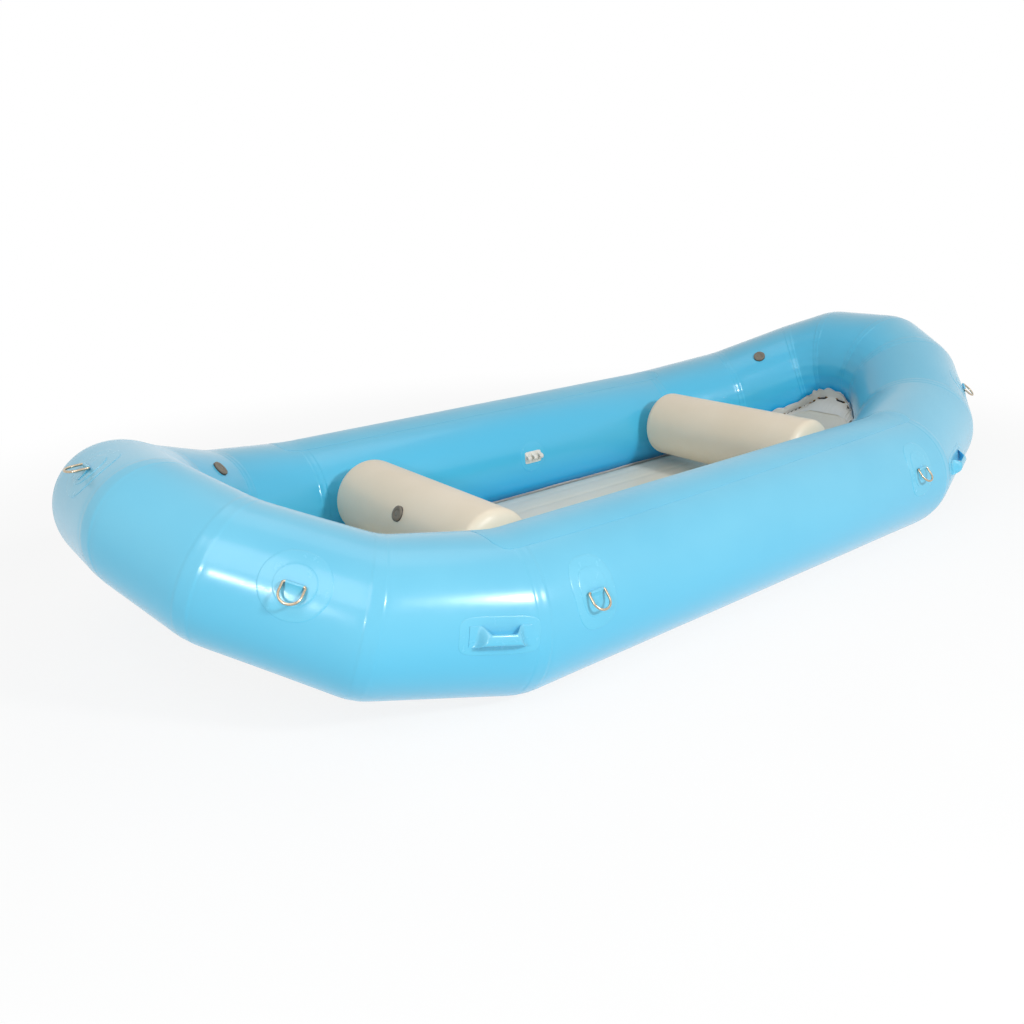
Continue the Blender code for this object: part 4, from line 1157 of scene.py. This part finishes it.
def floorMattress():
    # Rows along the boat: place, half width and height, taken from one side's edge of the hull
    edges = [station["edge"] for station in stations[:len(hull["joints"])]]
    marks = sorted((edge.x, edge.y, edge.z) for edge in edges if edge.y > 0.01)
    rows = []
    for here, ahead in zip(marks, marks[1:]):
        count = max(1, round((ahead[0] - here[0]) / floorSize["step"]))
        rows += [tuple(a + (b - a) * k / count for a, b in zip(here, ahead)) for k in range(count)]
    rows.append(marks[-1])
    for end, inner, place in ((rows[0], rows[1], 1), (rows[-1], rows[-2], len(rows) - 1)):
        steps = [tuple(a + (b - a) * d / abs(inner[0] - end[0]) for a, b in zip(end, inner))
                 for d in floorSize["endRows"]]
        rows[place:place] = steps if place == 1 else steps[::-1]
    front, back, t = rows[-1][0], rows[0][0], lacingSize["floorThick"] / 2
    corner, flat, power = floorSize["roundSteps"], floorSize["flatSteps"], floorSize["edge"]
    pitch, halfCrease = floorSize["creasePitch"], floorSize["creaseHalf"]
    part = flat + 2 * corner
    bm = bmesh.new()
    unitTube(bm, len(rows) - 1, 2 * part)
    for vert in bm.verts:
        x, w, z = rows[round(vert.co.x)]
        # Count round the section: a corner, the flat, a corner, and the same again below
        index = round(math.atan2(vert.co.z, vert.co.y) / (2 * math.pi) * 2 * part) % (2 * part)
        k, sign = index % part, -1 if index >= part else 1
        away = min(1.0, min(front - x, x - back) / t)
        thin = floorSize["endThin"] + (1 - floorSize["endThin"]) * math.sqrt(1 - (1 - away) ** 2)
        if k < corner:
            turn = math.pi / 2 * k / corner
            y, up = w - t + t * math.cos(turn) ** power, t * math.sin(turn) ** power
        elif k <= corner + flat:
            y = (w - t) * (1 - 2 * (k - corner) / flat)
            fromCrease = ((y / pitch + 0.5) % 1 - 0.5) * pitch
            up = t - floorSize["creaseDepth"] * math.exp(-(fromCrease / halfCrease) ** 2)
        else:
            turn = math.pi / 2 * (k - flat - corner) / corner
            y, up = -(w - t) - t * math.sin(turn) ** power, t * math.cos(turn) ** power
        vert.co = (x, y * sign, z + up * thin * sign)
    made = finishMesh("floorMattress", bm, "floor", "hull", sharp=70)
    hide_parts("floor")
    top = Matrix.Translation((*floorSize["valve"], lacingSize["floorThick"]))
    pocket(made, top, floorSize["valveRadius"], floorSize["valveDepth"])
    reliefProfile = [(0.012, -0.014), (0.012, 0.0052), (0.013, 0.006), (0.020, 0.0056), (0.0285, 0.0046),
                     (0.030, 0.0034), (0.030, 0.0003), (0.0235, 0.0003), (0.0235, -0.016), (0.0, -0.016),
                     (0.0, -0.014), (0.012, -0.014)]
    relief = spun("floorReliefValve", reliefProfile, top, "valve", "hull", 56)
    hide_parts("floor_relief_valve")


floorMattress()
print("floor and lacing made")


# Chafe strips: embossed fabric along the tops of the side tubes, outboard edge read off the photograph
# as places along the boat with angles up round the tube
chafeSize = {"edge": [(-1.13, 72.4), (-1.102, 72.4), (-0.784, 70.3), (-0.558, 69.3), (0.254, 66.3),
                      (0.632, 66.0), (0.94, 67.7), (1.106, 69.5), (1.17, 69.5)],
             "inboard": 112.0, "from": -1.13, "to": 1.16, "corner": 0.045, "thick": 0.0009,
             "grid": (150, 18)}


def chafeStrip(side):
    middle = sides[side][waist]
    sign = math.copysign(1, middle["at"].y)
    bm = bmesh.new()
    bmesh.ops.create_grid(bm, x_segments=chafeSize["grid"][0], y_segments=chafeSize["grid"][1], size=1)
    low, high = chafeSize["from"], chafeSize["to"]
    for vert in bm.verts:
        x = low + (high - low) * (vert.co.x + 1) / 2
        across = (vert.co.y + 1) / 2
        edge = next(a[1] + (b[1] - a[1]) * (x - a[0]) / (b[0] - a[0])
                    for a, b in zip(chafeSize["edge"], chafeSize["edge"][1:]) if a[0] <= x <= b[0] + 1e-9)
        inset = max(0.0, chafeSize["corner"] - min(x - low, high - x))
        trim = chafeSize["corner"] - math.sqrt(max(0.0, chafeSize["corner"] ** 2 - inset ** 2))
        trim = math.degrees(trim / middle["radius"])
        angle = math.radians((edge + trim) + (chafeSize["inboard"] - trim - edge - trim) * across)
        off = Vector((0, math.cos(angle) * sign, math.sin(angle)))
        centre = Vector((x, middle["at"].y, middle["at"].z))
        hit = hullSkin.ray_cast(centre + off * 0.45, -off)[0]
        vert.co = hit + off * chafeSize["thick"]
    bmesh.ops.recalc_face_normals(bm, faces=bm.faces)
    if sum(f.normal.z for f in bm.faces) < 0:
        bmesh.ops.reverse_faces(bm, faces=bm.faces)
    # Half of it sinks into the tube
    bmesh.ops.solidify(bm, geom=bm.faces, thickness=chafeSize["thick"] * 2)
    return finishMesh("chafeStrip" + side, bm, "chafe", "hull", sharp=40)


for side in sides:
    chafeStrip(side)
print("chafe strips made")


# Stage: a pale floor that the camera and the reflections see as white, darker only where it is shaded
stage = {"size": 14.0, "shine": 0.86, "nearEdge": 2.5, "farEdge": 4.6, "worldLevel": 0.31,
         "lamps": {  # name: (place, target, (width, height), watts)
             "boxRight": ((-0.78, 5.90, 3.62), (0.8, 0.3, 0.3), (0.75, 0.62), 205),
             "boxLeft": ((5.42, 3.55, 2.53), (1.6, 0.6, 0.5), (0.8, 0.5), 60),
             "boxHigh": ((3.4, 2.5, 3.9), (1.6, 0.7, 0.5), (2.8, 2.6), 58),
             "boxAbove": ((-0.6, -0.6, 5.0), (-0.2, 0.0, 0.0), (3.2, 2.6), 22)}}


def seenWhite(tree):
    # Where plain white stands for the lit surface: only where it is seen, mirrored or seen through
    path = addNode(tree, "ShaderNodeLightPath")
    either = addNode(tree, "ShaderNodeMath", {"operation": "MAXIMUM"},
                     {0: (path, "Is Camera Ray"), 1: (path, "Is Glossy Ray")})
    return addNode(tree, "ShaderNodeMath", {"operation": "MAXIMUM"},
                   {0: (either, 0), 1: (path, "Is Transmission Ray")})


def studioFloor():
    bm = bmesh.new()
    bmesh.ops.create_grid(bm, x_segments=1, y_segments=1, size=stage["size"])
    floor = bpy.data.objects.new("studioFloor", toMesh("studioFloor", bm))
    bpy.context.scene.collection.objects.link(floor)
    made, tree, shader = startMaterial("paleStudioFloor", {"Roughness": 0.9})
    at = addNode(tree, "ShaderNodeTexCoord")
    mottle = addNode(tree, "ShaderNodeTexNoise", {"Scale": 1.5, "Detail": 2.0}, {"Vector": (at, "Object")})
    tint = addNode(tree, "ShaderNodeValToRGB", {"stops": {0.3: linear("#F1F1F0"), 0.7: linear("#F6F6F5")}},
                   {"Fac": (mottle, "Fac")})
    feed(tree, shader, {"Base Color": (tint, "Color")})
    away = addNode(tree, "ShaderNodeVectorMath", {"operation": "LENGTH"}, {0: (at, "Object")})
    limits = shareOf((stage["nearEdge"], stage["farEdge"])) | {"To Min": stage["shine"], "To Max": 1.0}
    fade = addNode(tree, "ShaderNodeMapRange", limits, {"Value": (away, "Value")})
    glow = addNode(tree, "ShaderNodeEmission", {"Color": grey(1.0), "Strength": 1.0})
    seen = seenWhite(tree)
    share = addNode(tree, "ShaderNodeMath", {"operation": "MULTIPLY"}, {0: (seen, 0), 1: (fade, 0)})
    mix = addNode(tree, "ShaderNodeMixShader", None, {0: (share, 0), 1: (shader, 0), 2: (glow, 0)})
    feed(tree, tree.nodes["Material Output"], {"Surface": (mix, 0)})
    floor.data.materials.append(made)


def studioLight():
    world = bpy.data.worlds.new("studioWorld")
    world.use_nodes = True
    bpy.context.scene.world = world
    tree = world.node_tree
    lit = tree.nodes["Background"]
    lit.inputs["Color"].default_value = grey(1.0)
    lit.inputs["Strength"].default_value = stage["worldLevel"]
    white = addNode(tree, "ShaderNodeBackground", {"Color": grey(1.0), "Strength": 1.0})
    mix = addNode(tree, "ShaderNodeMixShader", None, {0: (seenWhite(tree), 0), 1: (lit, 0), 2: (white, 0)})
    feed(tree, tree.nodes["World Output"], {"Surface": (mix, 0)})
    for name, (place, target, size, watts) in stage["lamps"].items():
        data = bpy.data.lights.new(name, "AREA")
        data.shape, data.size, data.size_y, data.energy = "RECTANGLE", size[0], size[1], watts
        lamp = bpy.data.objects.new(name, data)
        turn = (Vector(target) - Vector(place)).to_track_quat("-Z", "Y").to_matrix().to_4x4()
        lamp.matrix_world = Matrix.Translation(place) @ turn
        bpy.context.scene.collection.objects.link(lamp)


studioFloor()
studioLight()
bpy.context.scene.view_settings.view_transform = "Standard"
print("stage lit")
